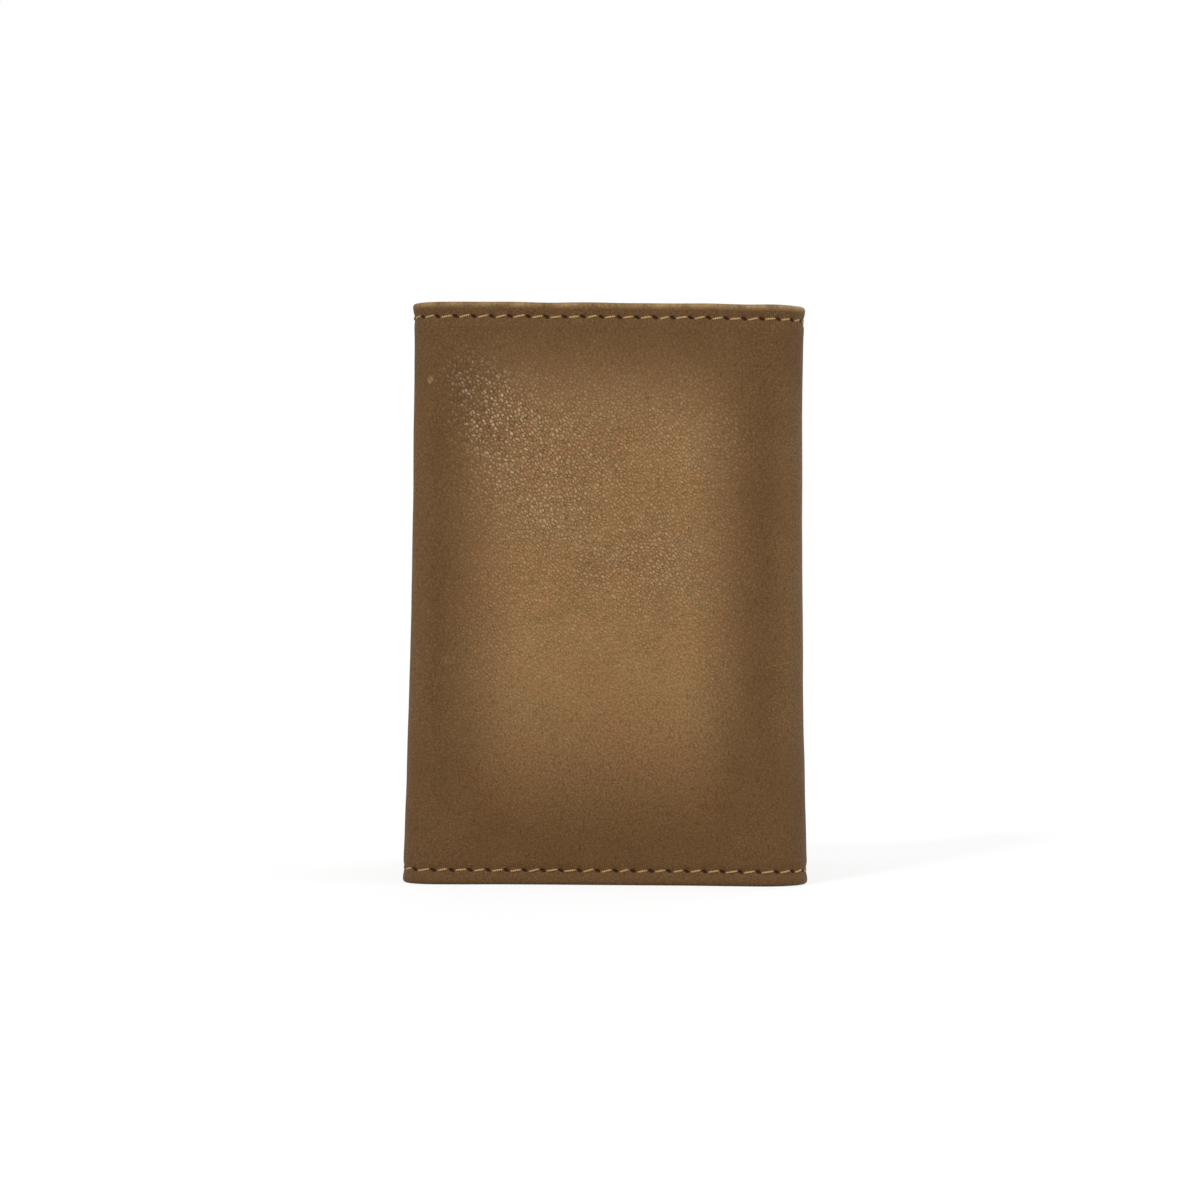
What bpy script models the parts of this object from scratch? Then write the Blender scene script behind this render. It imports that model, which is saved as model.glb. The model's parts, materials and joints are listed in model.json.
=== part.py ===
"""A leather trifold wallet, standing on its lower edge with both wings swung straight back.

The middle panel faces -Y and a wing hangs on each side of it by a soft upright fold. Each panel
is a stack of thin layers. A point of a layer is given by its run along the panel, its depth
inwards from the outer face of the leather, and its height above the lower edge. The run starts
at the fold's axis on a wing, and at the middle of the wallet on the middle panel.
Closed, the left wing lies on the middle panel and the right wing lies over them both.
"""

import math

import bmesh
import bpy
from mathutils import Vector

MM = 0.001

# Overall size, seen from the front
WIDTH = 75.0 * MM
HEIGHT = 110.0 * MM

# Outer leather, and its edges that are turned over and sewn down
SHELL = 1.0 * MM
HEM = 1.7 * MM
HEM_REACH = 8.0 * MM
EDGE_ROUND = 0.45 * MM
CORNER_RADIUS = 3.0 * MM

# How far the middle panel puffs out, over what part of its width and height
CROWN = 5.0 * MM
CROWN_SQUARENESS = 4.0
CROWN_START = 4.5 * MM
CROWN_RISE = 24.0 * MM
CROWN_RISE_POWER = 2.5
MOUTH_REACH = 14.0 * MM
MOUTH_DROP = 0.5 * MM

# Seams: the thread lies in a groove in the leather and dips between stitches
SEAM_INSET = 2.75 * MM
SEAM_CORNER = 2.0 * MM
STITCH_PITCH = 3.4 * MM
THREAD_RADIUS = 0.27 * MM
THREAD_LIFT = 0.05 * MM
THREAD_DIP = 0.36 * MM
THREAD_LEAN = 0.22 * MM

# Shares of a stitch's pitch at which the thread leaves its hole, lies on top, turns down and is back in
STITCH_UP = 0.10
STITCH_ON = 0.25
STITCH_OFF = 0.68
STITCH_DOWN = 0.83

# Inner layers
LINING = 0.25 * MM
DIVIDER = 0.4 * MM
DIVIDER_DROP = 1.5 * MM
POCKET = 0.55 * MM
POCKET_LIP = 0.25 * MM
LIP_REACH = 5.0 * MM
BAG_CLOTH = 0.3 * MM
FILM = 0.25 * MM
FRAME = 0.6 * MM

# Card pockets on the wings: the hindmost one's drop below the top edge, and each next one's below that
POCKET_COUNT = 3
POCKET_DROP = 14.0 * MM
POCKET_STEP = 10.0 * MM
FACING_HEIGHT = 16.0 * MM

# Pockets on the middle panel, and how far they stop below the top edge
SLIP_POCKET_DROP = 9.0 * MM
FRAME_DROP = 18.0 * MM
FRAME_SIDE = 6.5 * MM
FRAME_FOOT = 9.0 * MM
FRAME_HEAD = 10.0 * MM
WINDOW_RADIUS = 3.0 * MM
NOTCH_WIDTH = 22.0 * MM
NOTCH_DEPTH = 5.0 * MM
FILM_OVERLAP = 3.0 * MM

# Clearances
THREAD_SIDE_GAP = 0.135 * MM
THREAD_FLOOR_GAP = 0.12 * MM
LAYER_GAP = 0.3 * MM
FOLD_GAP = 0.3 * MM
CLOSED_GAP = 0.5 * MM
SWING_GAP = 0.8 * MM
FOLD_MARGIN = 1.2 * MM
EDGE_INSET = 1.2 * MM
FOOT_INSET = 0.8 * MM

# How finely the curved pieces are divided
CROWN_STATIONS = 18
RISE_LEVELS = 6
MOUTH_LEVELS = 3
FOLD_STATIONS = 8
CORNER_STATIONS = 4
ARC_STATIONS = 6
STEP = 0.05 * MM
SHARP_ANGLE = math.radians(35)

# The groove holds the thread where it leans and dips the most
GROOVE_WIDTH = 2 * (THREAD_LEAN + THREAD_RADIUS + THREAD_SIDE_GAP)
GROOVE_DEPTH = THREAD_DIP + THREAD_RADIUS + THREAD_FLOOR_GAP
THREAD_PROUD = THREAD_LIFT + THREAD_RADIUS
SEAMS = (("bottom", SEAM_INSET), ("top", HEIGHT - SEAM_INSET))

# Depth of each layer's outer side
LINING_DEPTH = SHELL + LAYER_GAP
DIVIDER_DEPTH = HEM + LAYER_GAP
POCKET_DEPTH = DIVIDER_DEPTH + DIVIDER + LAYER_GAP
POCKET_LAYER = POCKET + LAYER_GAP
FILM_DEPTH = POCKET_DEPTH + POCKET_LAYER
FRAME_DEPTH = FILM_DEPTH + FILM + LAYER_GAP
MIDDLE_STACK = FRAME_DEPTH + FRAME
WING_STACK = POCKET_DEPTH + (POCKET_COUNT - 1) * POCKET_LAYER + POCKET + POCKET_LIP

# Height of the pockets on the middle panel
SLIP_POCKET_TOP = HEIGHT - SLIP_POCKET_DROP
FRAME_TOP = HEIGHT - FRAME_DROP

# Each fold turns about an axis halfway between the two leathers that lie together when it is closed
LEFT_RADIUS = (MIDDLE_STACK + CLOSED_GAP + WING_STACK) / 2
RIGHT_RADIUS = LEFT_RADIUS + (THREAD_PROUD + CLOSED_GAP + WING_STACK) / 2
LEFT_AXIS = -WIDTH / 2 + LEFT_RADIUS
RIGHT_AXIS = WIDTH / 2 - RIGHT_RADIUS
FLAT_WIDTH = RIGHT_AXIS - LEFT_AXIS
FLAT_MIDDLE = (LEFT_AXIS + RIGHT_AXIS) / 2
CROWN_SLOPE = CROWN_SQUARENESS * CROWN / (FLAT_WIDTH / 2)

# Each wing is as long as it can be and still swing shut past the other one, which stands straight back
LEFT_REACH = math.sqrt((FLAT_WIDTH + RIGHT_RADIUS - WING_STACK - SWING_GAP) ** 2 - LEFT_RADIUS**2)
RIGHT_REACH = math.sqrt((FLAT_WIDTH + LEFT_RADIUS - WING_STACK - SWING_GAP) ** 2 - RIGHT_RADIUS**2)
BACK = max(LEFT_RADIUS + LEFT_REACH, RIGHT_RADIUS + RIGHT_REACH)
FRONT_Y = (CROWN - BACK) / 2


def material(name, colour, roughness, alpha=1.0):
    """A plain surface of one colour."""
    made = bpy.data.materials.new(name)
    made.use_nodes = True
    shader = made.node_tree.nodes["Principled BSDF"]
    shader.inputs["Base Color"].default_value = (*colour, 1.0)
    shader.inputs["Roughness"].default_value = roughness
    shader.inputs["Metallic"].default_value = 0.0
    shader.inputs["Alpha"].default_value = alpha
    return made


def middle_crown(run, height):
    """How far the middle panel's leather stands out from the flat at this place."""
    across = 1 - min(abs(run - FLAT_MIDDLE) / (FLAT_WIDTH / 2), 1) ** CROWN_SQUARENESS
    return across * upright_crown(height)


def upright_crown(height):
    """The crown halfway across the middle panel: none at the bottom seam, nearly all at the mouth."""
    risen = min(max((height - CROWN_START) / CROWN_RISE, 0), 1)
    near_mouth = max(height - (HEIGHT - MOUTH_REACH), 0) / MOUTH_REACH
    return CROWN * (1 - (1 - risen) ** CROWN_RISE_POWER) - MOUTH_DROP * near_mouth**2


def crown_levels():
    """Heights at which a crowned piece needs a point."""
    rise = [CROWN_START + CROWN_RISE * k / RISE_LEVELS for k in range(RISE_LEVELS + 1)]
    mouth = [HEIGHT - MOUTH_REACH * (1 - k / MOUTH_LEVELS) for k in range(MOUTH_LEVELS)]
    return rise + mouth


def crown_stations():
    """Runs along the middle panel, closest together near its folds, where it curves most."""
    half = (FLAT_WIDTH - FOLD_GAP) / 2
    turns = [math.pi * k / CROWN_STATIONS for k in range(CROWN_STATIONS + 1)]
    return [FLAT_MIDDLE - half * math.cos(turn) for turn in turns]


def with_levels(outline, levels):
    """The outline with a point wherever one of its upright sides crosses a level."""
    points = []
    for (depth, low), (next_depth, high) in zip(outline, outline[1:] + outline[:1]):
        points.append((depth, low))
        if depth == next_depth:
            crossed = [level for level in levels if min(low, high) < level < max(low, high)]
            points += [(depth, level) for level in sorted(crossed, reverse=high < low)]
    return points


def shell_outline():
    """A shell cut across: its outer face with a groove near each edge, and its hems turned inwards."""
    groove_low = SEAM_INSET - GROOVE_WIDTH / 2
    groove_high = SEAM_INSET + GROOVE_WIDTH / 2
    chamfer = EDGE_ROUND * (1 - math.sqrt(0.5))
    outer = [
        (EDGE_ROUND, 0),
        (chamfer, chamfer),
        (0, EDGE_ROUND),
        (0, groove_low),
        (GROOVE_DEPTH, groove_low),
        (GROOVE_DEPTH, groove_high),
        (0, groove_high),
    ]
    inner = [
        (SHELL, HEM_REACH + STEP),
        (HEM, HEM_REACH),
        (HEM, EDGE_ROUND),
        (HEM - chamfer, chamfer),
        (HEM - EDGE_ROUND, 0),
    ]
    upper_outer = [(depth, HEIGHT - height) for depth, height in reversed(outer)]
    upper_inner = [(depth, HEIGHT - height) for depth, height in reversed(inner)]
    return outer + upper_outer + upper_inner + inner


def sheet_outline(depth, thickness, low, high):
    """A plain sheet cut across."""
    return [(depth, low), (depth, high), (depth + thickness, high), (depth + thickness, low)]


def lipped_outline(depth, low, high):
    """A pocket leather cut across, with its upper edge turned over on the inner side."""
    inner = depth + POCKET
    lip = inner + POCKET_LIP
    return [
        (depth, low),
        (depth, high),
        (lip, high),
        (lip, high - LIP_REACH),
        (inner, high - LIP_REACH - STEP),
        (inner, low),
    ]


def add_object(name, data, surface, parent):
    """A named object with one surface, carried by its parent."""
    made = bpy.data.objects.new(name, data)
    data.materials.append(surface)
    made.parent = parent
    bpy.context.scene.collection.objects.link(made)
    return made


def add_mesh(name, shape, surface, parent):
    """Turns a bmesh into a named object with its faces outwards."""
    bmesh.ops.recalc_face_normals(shape, faces=shape.faces)
    if shape.calc_volume(signed=True) < 0:
        bmesh.ops.reverse_faces(shape, faces=shape.faces)
    data = bpy.data.meshes.new(name)
    shape.to_mesh(data)
    shape.free()
    data.shade_smooth()
    data.set_sharp_from_angle(angle=SHARP_ANGLE)
    return add_object(name, data, surface, parent)


def swept(name, outline, stations, place, surface, parent=None):
    """One solid: the outline run through the stations, each of its points put where place says."""
    shape = bmesh.new()
    first = shape.faces.new([shape.verts.new((stations[0], *point)) for point in outline])
    cap = first
    for before, after in zip(stations, stations[1:]):
        grown = bmesh.ops.extrude_face_region(shape, geom=[cap])["geom"]
        ends = [item for item in grown if isinstance(item, bmesh.types.BMVert)]
        bmesh.ops.translate(shape, verts=ends, vec=(after - before, 0, 0))
        if cap is not first:
            shape.faces.remove(cap)
        cap = next(item for item in grown if isinstance(item, bmesh.types.BMFace))
    for vert in shape.verts:
        vert.co = place(*vert.co)
    return add_mesh(name, shape, surface, parent)


def seam_thread(name, start, stop, place, surface, parent=None):
    """One unbroken thread: up at a needle hole, leaning across as a stitch, and down at the next hole.

    place takes a distance along the seam, a depth, and how far the thread leans off the seam line.
    """
    count = max(round((stop - start) / STITCH_PITCH), 1)
    pitch = (stop - start) / count
    stitch = (
        (STITCH_UP, THREAD_DIP, -THREAD_LEAN),
        (STITCH_ON, -THREAD_LIFT, -THREAD_LEAN),
        (STITCH_OFF, -THREAD_LIFT, THREAD_LEAN),
        (STITCH_DOWN, THREAD_DIP, THREAD_LEAN),
    )
    route = [
        place(start + (number + share) * pitch, depth, lean)
        for number in range(count)
        for share, depth, lean in stitch
    ]
    curve = bpy.data.curves.new(name, "CURVE")
    curve.dimensions = "3D"
    curve.bevel_depth = THREAD_RADIUS
    curve.bevel_resolution = 0
    curve.use_fill_caps = True
    line = curve.splines.new("POLY")
    line.points.add(len(route) - 1)
    for point, position in zip(line.points, route):
        point.co = (*position, 1)
    return add_object(name, curve, surface, parent)


def flat_point(run, depth, height):
    """A place on the flat layers of the middle panel."""
    return Vector((run, FRONT_Y + depth, height))


def crowned_point(run, depth, height):
    """A place on the leather or the lining of the middle panel, which puff out together."""
    return flat_point(run, depth - middle_crown(run, height), height)


class Fold:
    """The axis on which a wing swings, and the leather and cloth that bend round it."""

    def __init__(self, name, side, axis, radius):
        self.name = name
        self.side = side
        self.axis = axis
        self.radius = radius
        self.hinge = bpy.data.objects.new(name + "_fold_axis", None)
        self.hinge.location = (axis, FRONT_Y + radius, 0)
        self.hinge.rotation_euler.z = side * math.pi / 2
        bpy.context.scene.collection.objects.link(self.hinge)

    def on_wing(self, run, depth, height):
        """A place on the wing, in the frame of its axis."""
        return Vector((self.side * run, depth - self.radius, height))

    def round_fold(self, turn, depth, height, bulge=0.0):
        """A place on the quarter turn between the middle panel and the wing."""
        far = self.radius + bulge - depth
        across = self.axis + self.side * far * math.sin(turn)
        return Vector((across, FRONT_Y + self.radius - far * math.cos(turn), height))

    def puffed_fold(self, turn, depth, height):
        """The same, for the layers that carry the crown's slope on into the fold."""
        slope = CROWN_SLOPE * upright_crown(height) / CROWN
        left = 1 - turn / (math.pi / 2)
        return self.round_fold(turn, depth, height, self.radius * slope * turn * left**2)

    def turns(self):
        """Angles round the fold at which its pieces have a section."""
        gap = FOLD_GAP / 2 / self.radius
        span = math.pi / 2 - 2 * gap
        return [gap + span * k / FOLD_STATIONS for k in range(FOLD_STATIONS + 1)]

    def build(self, leather, lining, divider, thread):
        """The leather, lining, divider and threads that go round the fold."""
        levels = crown_levels()
        shell = with_levels(shell_outline(), levels)
        cloth = with_levels(lining_outline(), levels)
        swept(self.name + "_fold_leather", shell, self.turns(), self.puffed_fold, leather)
        swept(self.name + "_fold_lining", cloth, self.turns(), self.puffed_fold, lining)
        swept(self.name + "_fold_divider", divider_outline(), self.turns(), self.round_fold, divider)
        arc = self.radius * math.pi / 2
        for name, seam in SEAMS:

            def along(run, depth, lean, seam=seam):
                return self.puffed_fold(run / self.radius, depth, seam + lean)

            label = f"{self.name}_fold_{name}_thread"
            seam_thread(label, FOLD_GAP / 2, arc - FOLD_GAP / 2, along, thread)


def lining_outline():
    """The lining fills the space between the two hems."""
    low = HEM_REACH + LAYER_GAP
    return sheet_outline(LINING_DEPTH, LINING, low, HEIGHT - low)


def divider_outline():
    """The divider stands a little below the leather's top edge."""
    return sheet_outline(DIVIDER_DEPTH, DIVIDER, FOOT_INSET, HEIGHT - DIVIDER_DROP)


class Wing:
    """An outer panel: hemmed leather, lining, divider and card pockets, hung on a fold."""

    def __init__(self, fold, reach):
        self.fold = fold
        self.name = fold.name
        self.reach = reach
        self.start = FOLD_GAP / 2
        self.inner_start = FOLD_MARGIN
        self.inner_stop = reach - EDGE_INSET

    def shell_stations(self):
        """Runs along the leather, with one at each change of its section near the free end."""
        groove = self.reach - SEAM_INSET - GROOVE_WIDTH / 2
        groove_end = groove + GROOVE_WIDTH
        turns = [math.pi / 2 * k / CORNER_STATIONS for k in range(1, CORNER_STATIONS + 1)]
        corner = [self.reach - CORNER_RADIUS * (1 - math.sin(turn)) for turn in turns]
        hem = self.reach - HEM_REACH
        edge = self.reach - EDGE_ROUND
        steps = [hem - STEP, hem, groove - STEP, groove, groove_end, groove_end + STEP, edge]
        return sorted([self.start, *steps, *corner])

    def shell_point(self, run, depth, height):
        """The free end is hemmed, grooved and rounded as the long edges are."""
        from_end = max(self.reach - run, 0)
        on_face = depth < STEP
        on_back = abs(depth - SHELL) < STEP
        groove_end = SEAM_INSET + GROOVE_WIDTH / 2 + EDGE_ROUND
        in_groove = abs(from_end - SEAM_INSET) < (GROOVE_WIDTH + STEP) / 2
        if on_back and from_end < HEM_REACH + STEP / 2:
            depth = HEM
        if on_face and in_groove and groove_end - STEP < height < HEIGHT - groove_end + STEP:
            depth = GROOVE_DEPTH
        bite = max(EDGE_ROUND - from_end, 0)
        depth = min(max(depth, bite), HEM - bite)
        inside = max(CORNER_RADIUS - from_end, 0)
        drop = CORNER_RADIUS - math.sqrt(CORNER_RADIUS**2 - inside**2)
        edge_zone = CORNER_RADIUS + EDGE_ROUND
        if height < edge_zone:
            height += drop * (1 - height / edge_zone)
        if height > HEIGHT - edge_zone:
            height -= drop * (1 - (HEIGHT - height) / edge_zone)
        return self.fold.on_wing(run, depth, height)

    def build_shell(self, leather, thread):
        """The wing's leather and the threads along its three sewn edges."""
        groove_end = SEAM_INSET + GROOVE_WIDTH / 2 + EDGE_ROUND
        outline = with_levels(shell_outline(), [groove_end, HEIGHT - groove_end])
        hinge = self.fold.hinge
        swept(self.name + "_shell", outline, self.shell_stations(), self.shell_point, leather, hinge)
        corner = SEAM_INSET + SEAM_CORNER
        for name, seam in SEAMS:

            def along(run, depth, lean, seam=seam):
                return self.fold.on_wing(run, depth, seam + lean)

            label = f"{self.name}_{name}_thread"
            seam_thread(label, self.start, self.reach - corner, along, thread, hinge)

        def up_the_end(height, depth, lean):
            return self.fold.on_wing(self.reach - SEAM_INSET - lean, depth, height)

        label = self.name + "_end_thread"
        seam_thread(label, corner, HEIGHT - corner, up_the_end, thread, hinge)

    def layer(self, name, outline, start, stop, surface):
        """A flat layer of the wing."""
        place = self.fold.on_wing
        swept(f"{self.name}_{name}", outline, [start, stop], place, surface, self.fold.hinge)

    def build_lining(self, lining, divider):
        """The cloth between the hems, and the divider behind the bill compartment."""
        end = self.reach - HEM_REACH - LAYER_GAP
        self.layer("lining", lining_outline(), self.start, end, lining)
        self.layer("divider", divider_outline(), self.start, self.inner_stop, divider)

    def build_pockets(self, leather, lining):
        """Stepped pockets: the hindmost stands highest, and all but the front one end in a cloth bag."""
        for number in range(POCKET_COUNT):
            depth = POCKET_DEPTH + number * POCKET_LAYER
            behind = POCKET_COUNT - 1 - number
            top = HEIGHT - POCKET_DROP - number * POCKET_STEP
            label = f"card_pocket_{number + 1}"
            if behind == 0:
                outline = lipped_outline(depth, FOOT_INSET, top)
                self.layer(label, outline, self.inner_start, self.inner_stop, leather)
                continue
            low = top - FACING_HEIGHT
            facing = lipped_outline(depth, low, top)
            foot = SEAM_INSET + behind * POCKET_STEP
            bag = sheet_outline(depth, BAG_CLOTH, foot, low - LAYER_GAP)
            self.layer(label + "_facing", facing, self.inner_start, self.inner_stop, leather)
            self.layer(label + "_bag", bag, self.inner_start, self.inner_stop, lining)


class MiddlePanel:
    """The puffed panel that faces forward, with the bill compartment and the pockets behind it."""

    def __init__(self):
        self.start = LEFT_AXIS + FOLD_MARGIN
        self.stop = RIGHT_AXIS - FOLD_MARGIN
        self.window_low = FRAME_FOOT
        self.window_high = FRAME_TOP - FRAME_HEAD

    def build_shell(self, leather, thread):
        """The puffed leather, and the threads along its top and bottom edges."""
        outline = with_levels(shell_outline(), crown_levels())
        swept("center_shell", outline, crown_stations(), crowned_point, leather)
        for name, seam in SEAMS:

            def along(run, depth, lean, seam=seam):
                return crowned_point(run, depth, seam + lean)

            edge = FOLD_GAP / 2
            seam_thread(f"center_{name}_thread", LEFT_AXIS + edge, RIGHT_AXIS - edge, along, thread)

    def build_lining(self, lining, divider):
        """The cloth that puffs out with the leather, and the flat divider behind it."""
        cloth = with_levels(lining_outline(), crown_levels())
        swept("center_lining", cloth, crown_stations(), crowned_point, lining)
        ends = [LEFT_AXIS + FOLD_GAP / 2, RIGHT_AXIS - FOLD_GAP / 2]
        swept("center_divider", divider_outline(), ends, flat_point, divider)

    def build_pockets(self, leather, film):
        """The slip pocket, and in front of it the window's film and frame."""
        ends = [self.start, self.stop]
        slip = lipped_outline(POCKET_DEPTH, FOOT_INSET, SLIP_POCKET_TOP)
        swept("center_slip_pocket", slip, ends, flat_point, leather)
        low = self.window_low - FILM_OVERLAP
        sheet = sheet_outline(FILM_DEPTH, FILM, low, self.window_high + FILM_OVERLAP)
        inset = FRAME_SIDE - FILM_OVERLAP
        swept("id_window", sheet, [self.start + inset, self.stop - inset], flat_point, film)
        self.build_frame(leather)

    def frame_loop(self):
        """The frame's outside, with a shallow thumb notch in its upper edge."""
        radius = (NOTCH_WIDTH**2 / 4 + NOTCH_DEPTH**2) / (2 * NOTCH_DEPTH)
        middle = (self.start + self.stop) / 2
        reach = math.asin(NOTCH_WIDTH / 2 / radius)
        turns = [reach * (1 - 2 * k / ARC_STATIONS) for k in range(ARC_STATIONS + 1)]
        centre = FRAME_TOP - NOTCH_DEPTH + radius
        notch = [(middle + radius * math.sin(turn), centre - radius * math.cos(turn)) for turn in turns]
        foot = [(self.start, FOOT_INSET), (self.stop, FOOT_INSET)]
        return foot + [(self.stop, FRAME_TOP), *notch, (self.start, FRAME_TOP)]

    def window_loop(self):
        """The window, with round corners."""
        left = self.start + FRAME_SIDE + WINDOW_RADIUS
        right = self.stop - FRAME_SIDE - WINDOW_RADIUS
        low = self.window_low + WINDOW_RADIUS
        high = self.window_high - WINDOW_RADIUS
        corners = ((left, low, 180), (right, low, 270), (right, high, 0), (left, high, 90))
        points = []
        for run, height, first in corners:
            for k in range(ARC_STATIONS + 1):
                turn = math.radians(first + 90 * k / ARC_STATIONS)
                across = WINDOW_RADIUS * math.cos(turn)
                up = WINDOW_RADIUS * math.sin(turn)
                points.append((run + across, height + up))
        return points

    def build_frame(self, leather):
        """A leather plate with the window cut out of it."""
        shape = bmesh.new()
        edges = []
        for loop in (self.frame_loop(), self.window_loop()):
            corners = [shape.verts.new(flat_point(run, FRAME_DEPTH, height)) for run, height in loop]
            edges += [shape.edges.new(pair) for pair in zip(corners, corners[1:] + corners[:1])]
        bmesh.ops.triangle_fill(shape, edges=edges, use_beauty=True)
        grown = bmesh.ops.extrude_face_region(shape, geom=shape.faces[:])["geom"]
        raised = [item for item in grown if isinstance(item, bmesh.types.BMVert)]
        bmesh.ops.translate(shape, verts=raised, vec=(0, FRAME, 0))
        add_mesh("id_window_frame", shape, leather, None)


def main():
    """Builds every piece of the wallet."""
    for item in list(bpy.data.objects):
        bpy.data.objects.remove(item)
    shell_leather = material("shell_leather", (0.21, 0.118, 0.05), 0.55)
    pocket_leather = material("pocket_leather", (0.17, 0.094, 0.042), 0.6)
    lining = material("lining_cloth", (0.13, 0.115, 0.075), 0.9)
    divider = material("divider_leather", (0.15, 0.085, 0.04), 0.65)
    thread = material("seam_thread", (0.47, 0.29, 0.09), 0.7)
    film = material("window_film", (0.8, 0.82, 0.82), 0.12, 0.3)

    middle = MiddlePanel()
    middle.build_shell(shell_leather, thread)
    middle.build_lining(lining, divider)
    middle.build_pockets(pocket_leather, film)
    left = Fold("left", -1, LEFT_AXIS, LEFT_RADIUS)
    right = Fold("right", 1, RIGHT_AXIS, RIGHT_RADIUS)
    for fold, reach in ((left, LEFT_REACH), (right, RIGHT_REACH)):
        fold.build(shell_leather, lining, divider, thread)
        wing = Wing(fold, reach)
        wing.build_shell(shell_leather, thread)
        wing.build_lining(lining, divider)
        wing.build_pockets(pocket_leather, lining)


main()
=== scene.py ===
"""Looks of a trifold wallet in grained brown leather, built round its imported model.

Every piece is cut flat, as a maker cuts it, and is then laid on the wallet's form. A place on the
flat lay is three lengths: along, from the middle of the middle panel and negative to the left; up,
from the lower edge; and depth, inwards from the outer face of the leather.
"""

import json
import logging
import math
from dataclasses import dataclass, field
from enum import Enum
from typing import Any, Callable, Iterable, Optional, Sequence, Union

import bmesh
import bpy
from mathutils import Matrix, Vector, noise


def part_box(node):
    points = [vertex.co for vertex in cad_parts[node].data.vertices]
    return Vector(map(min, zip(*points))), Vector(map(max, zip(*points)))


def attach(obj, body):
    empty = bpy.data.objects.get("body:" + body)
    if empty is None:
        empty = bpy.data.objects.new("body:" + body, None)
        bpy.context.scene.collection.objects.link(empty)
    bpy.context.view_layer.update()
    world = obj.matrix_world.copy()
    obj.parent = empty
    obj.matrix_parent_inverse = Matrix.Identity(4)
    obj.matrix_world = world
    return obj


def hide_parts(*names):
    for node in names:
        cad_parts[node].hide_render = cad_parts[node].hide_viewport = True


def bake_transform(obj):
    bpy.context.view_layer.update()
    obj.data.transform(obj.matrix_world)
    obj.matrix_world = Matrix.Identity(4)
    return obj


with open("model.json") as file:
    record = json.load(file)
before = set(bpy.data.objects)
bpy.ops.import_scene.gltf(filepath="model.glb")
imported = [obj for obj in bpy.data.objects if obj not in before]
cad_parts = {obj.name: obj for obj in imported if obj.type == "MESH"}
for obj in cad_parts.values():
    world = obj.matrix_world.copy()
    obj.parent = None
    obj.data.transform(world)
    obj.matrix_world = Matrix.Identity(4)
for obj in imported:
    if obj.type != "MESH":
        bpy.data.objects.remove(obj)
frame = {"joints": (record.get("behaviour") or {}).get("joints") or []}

Colour = tuple[float, float, float]
Triple = tuple[float, float, float]
Touched = tuple[float, Triple, Triple]
Touch = Callable[[float, float, float], Touched]
BMesh = bmesh.types.BMesh
Object = bpy.types.Object
Material = bpy.types.Material

MM = 0.001
QUARTER = math.pi / 2
NEAR = 0.01 * MM
TINY = 1e-6
PLAIN: Triple = (0.0, 0.0, 0.0)
STITCH_PITCH = 3.415 * MM
POCKET_LEATHER = 0.55 * MM
LIP_REACH = 5.0 * MM
FURROW_REACH = 1.1 * MM
HOLE_LENGTH = 0.6 * MM
HOLE_WIDTH = 0.45 * MM
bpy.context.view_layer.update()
LOG = logging.getLogger("wallet")


def smooth(low: float, high: float, value: float) -> float:
    """A soft step that is 0 at low and 1 at high."""
    share = min(max((value - low) / (high - low), 0.0), 1.0)
    return share * share * (3 - 2 * share)


def fade(low: float, high: float, value: float) -> float:
    """A soft step that is 1 at low and 0 at high."""
    return 1 - smooth(low, high, value)


def steps(start: float, stop: float, size: float) -> list[float]:
    """Even steps of about this size, both ends included."""
    count = max(round(abs(stop - start) / size), 1)
    return [start + (stop - start) * k / count for k in range(count + 1)]


def merged(*runs: Iterable[float]) -> list[float]:
    """All the stations of these runs in order, each of them once.

    Args:
        runs: Lists of stations, which may share their ends.

    Returns:
        The sorted stations, with those that lie almost together joined.
    """
    ordered = sorted(value for run in runs for value in run)
    kept = ordered[:1]
    for value in ordered[1:]:
        if value - kept[-1] > NEAR:
            kept.append(value)
    return kept


def dent(across: float, run: float, furrow: float, hole: float) -> float:
    """How far a seam draws a face in.

    Args:
        across: Distance across the seam.
        run: Distance along it from the nearest needle hole.
        furrow: Depth of the furrow along the seam.
        hole: Further depth at a needle hole.

    Returns:
        The depth of the dent.
    """
    trough = math.exp(-((across / FURROW_REACH) ** 2))
    pit = math.exp(-((run / HOLE_LENGTH) ** 2) - (across / HOLE_WIDTH) ** 2)
    return furrow * trough + hole * pit


class Side(Enum):
    """The two folds and the wings that hang on them."""

    LEFT = -1
    RIGHT = 1

    @property
    def label(self) -> str:
        """The side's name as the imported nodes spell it."""
        return self.name.lower()

    @property
    def wing(self) -> str:
        """The name of the body that swings on this side."""
        return f"{self.label}_wing"

    @classmethod
    def of(cls, along: float) -> "Side":
        """The side on which a place of the lay is."""
        return cls.LEFT if along < 0 else cls.RIGHT


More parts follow.
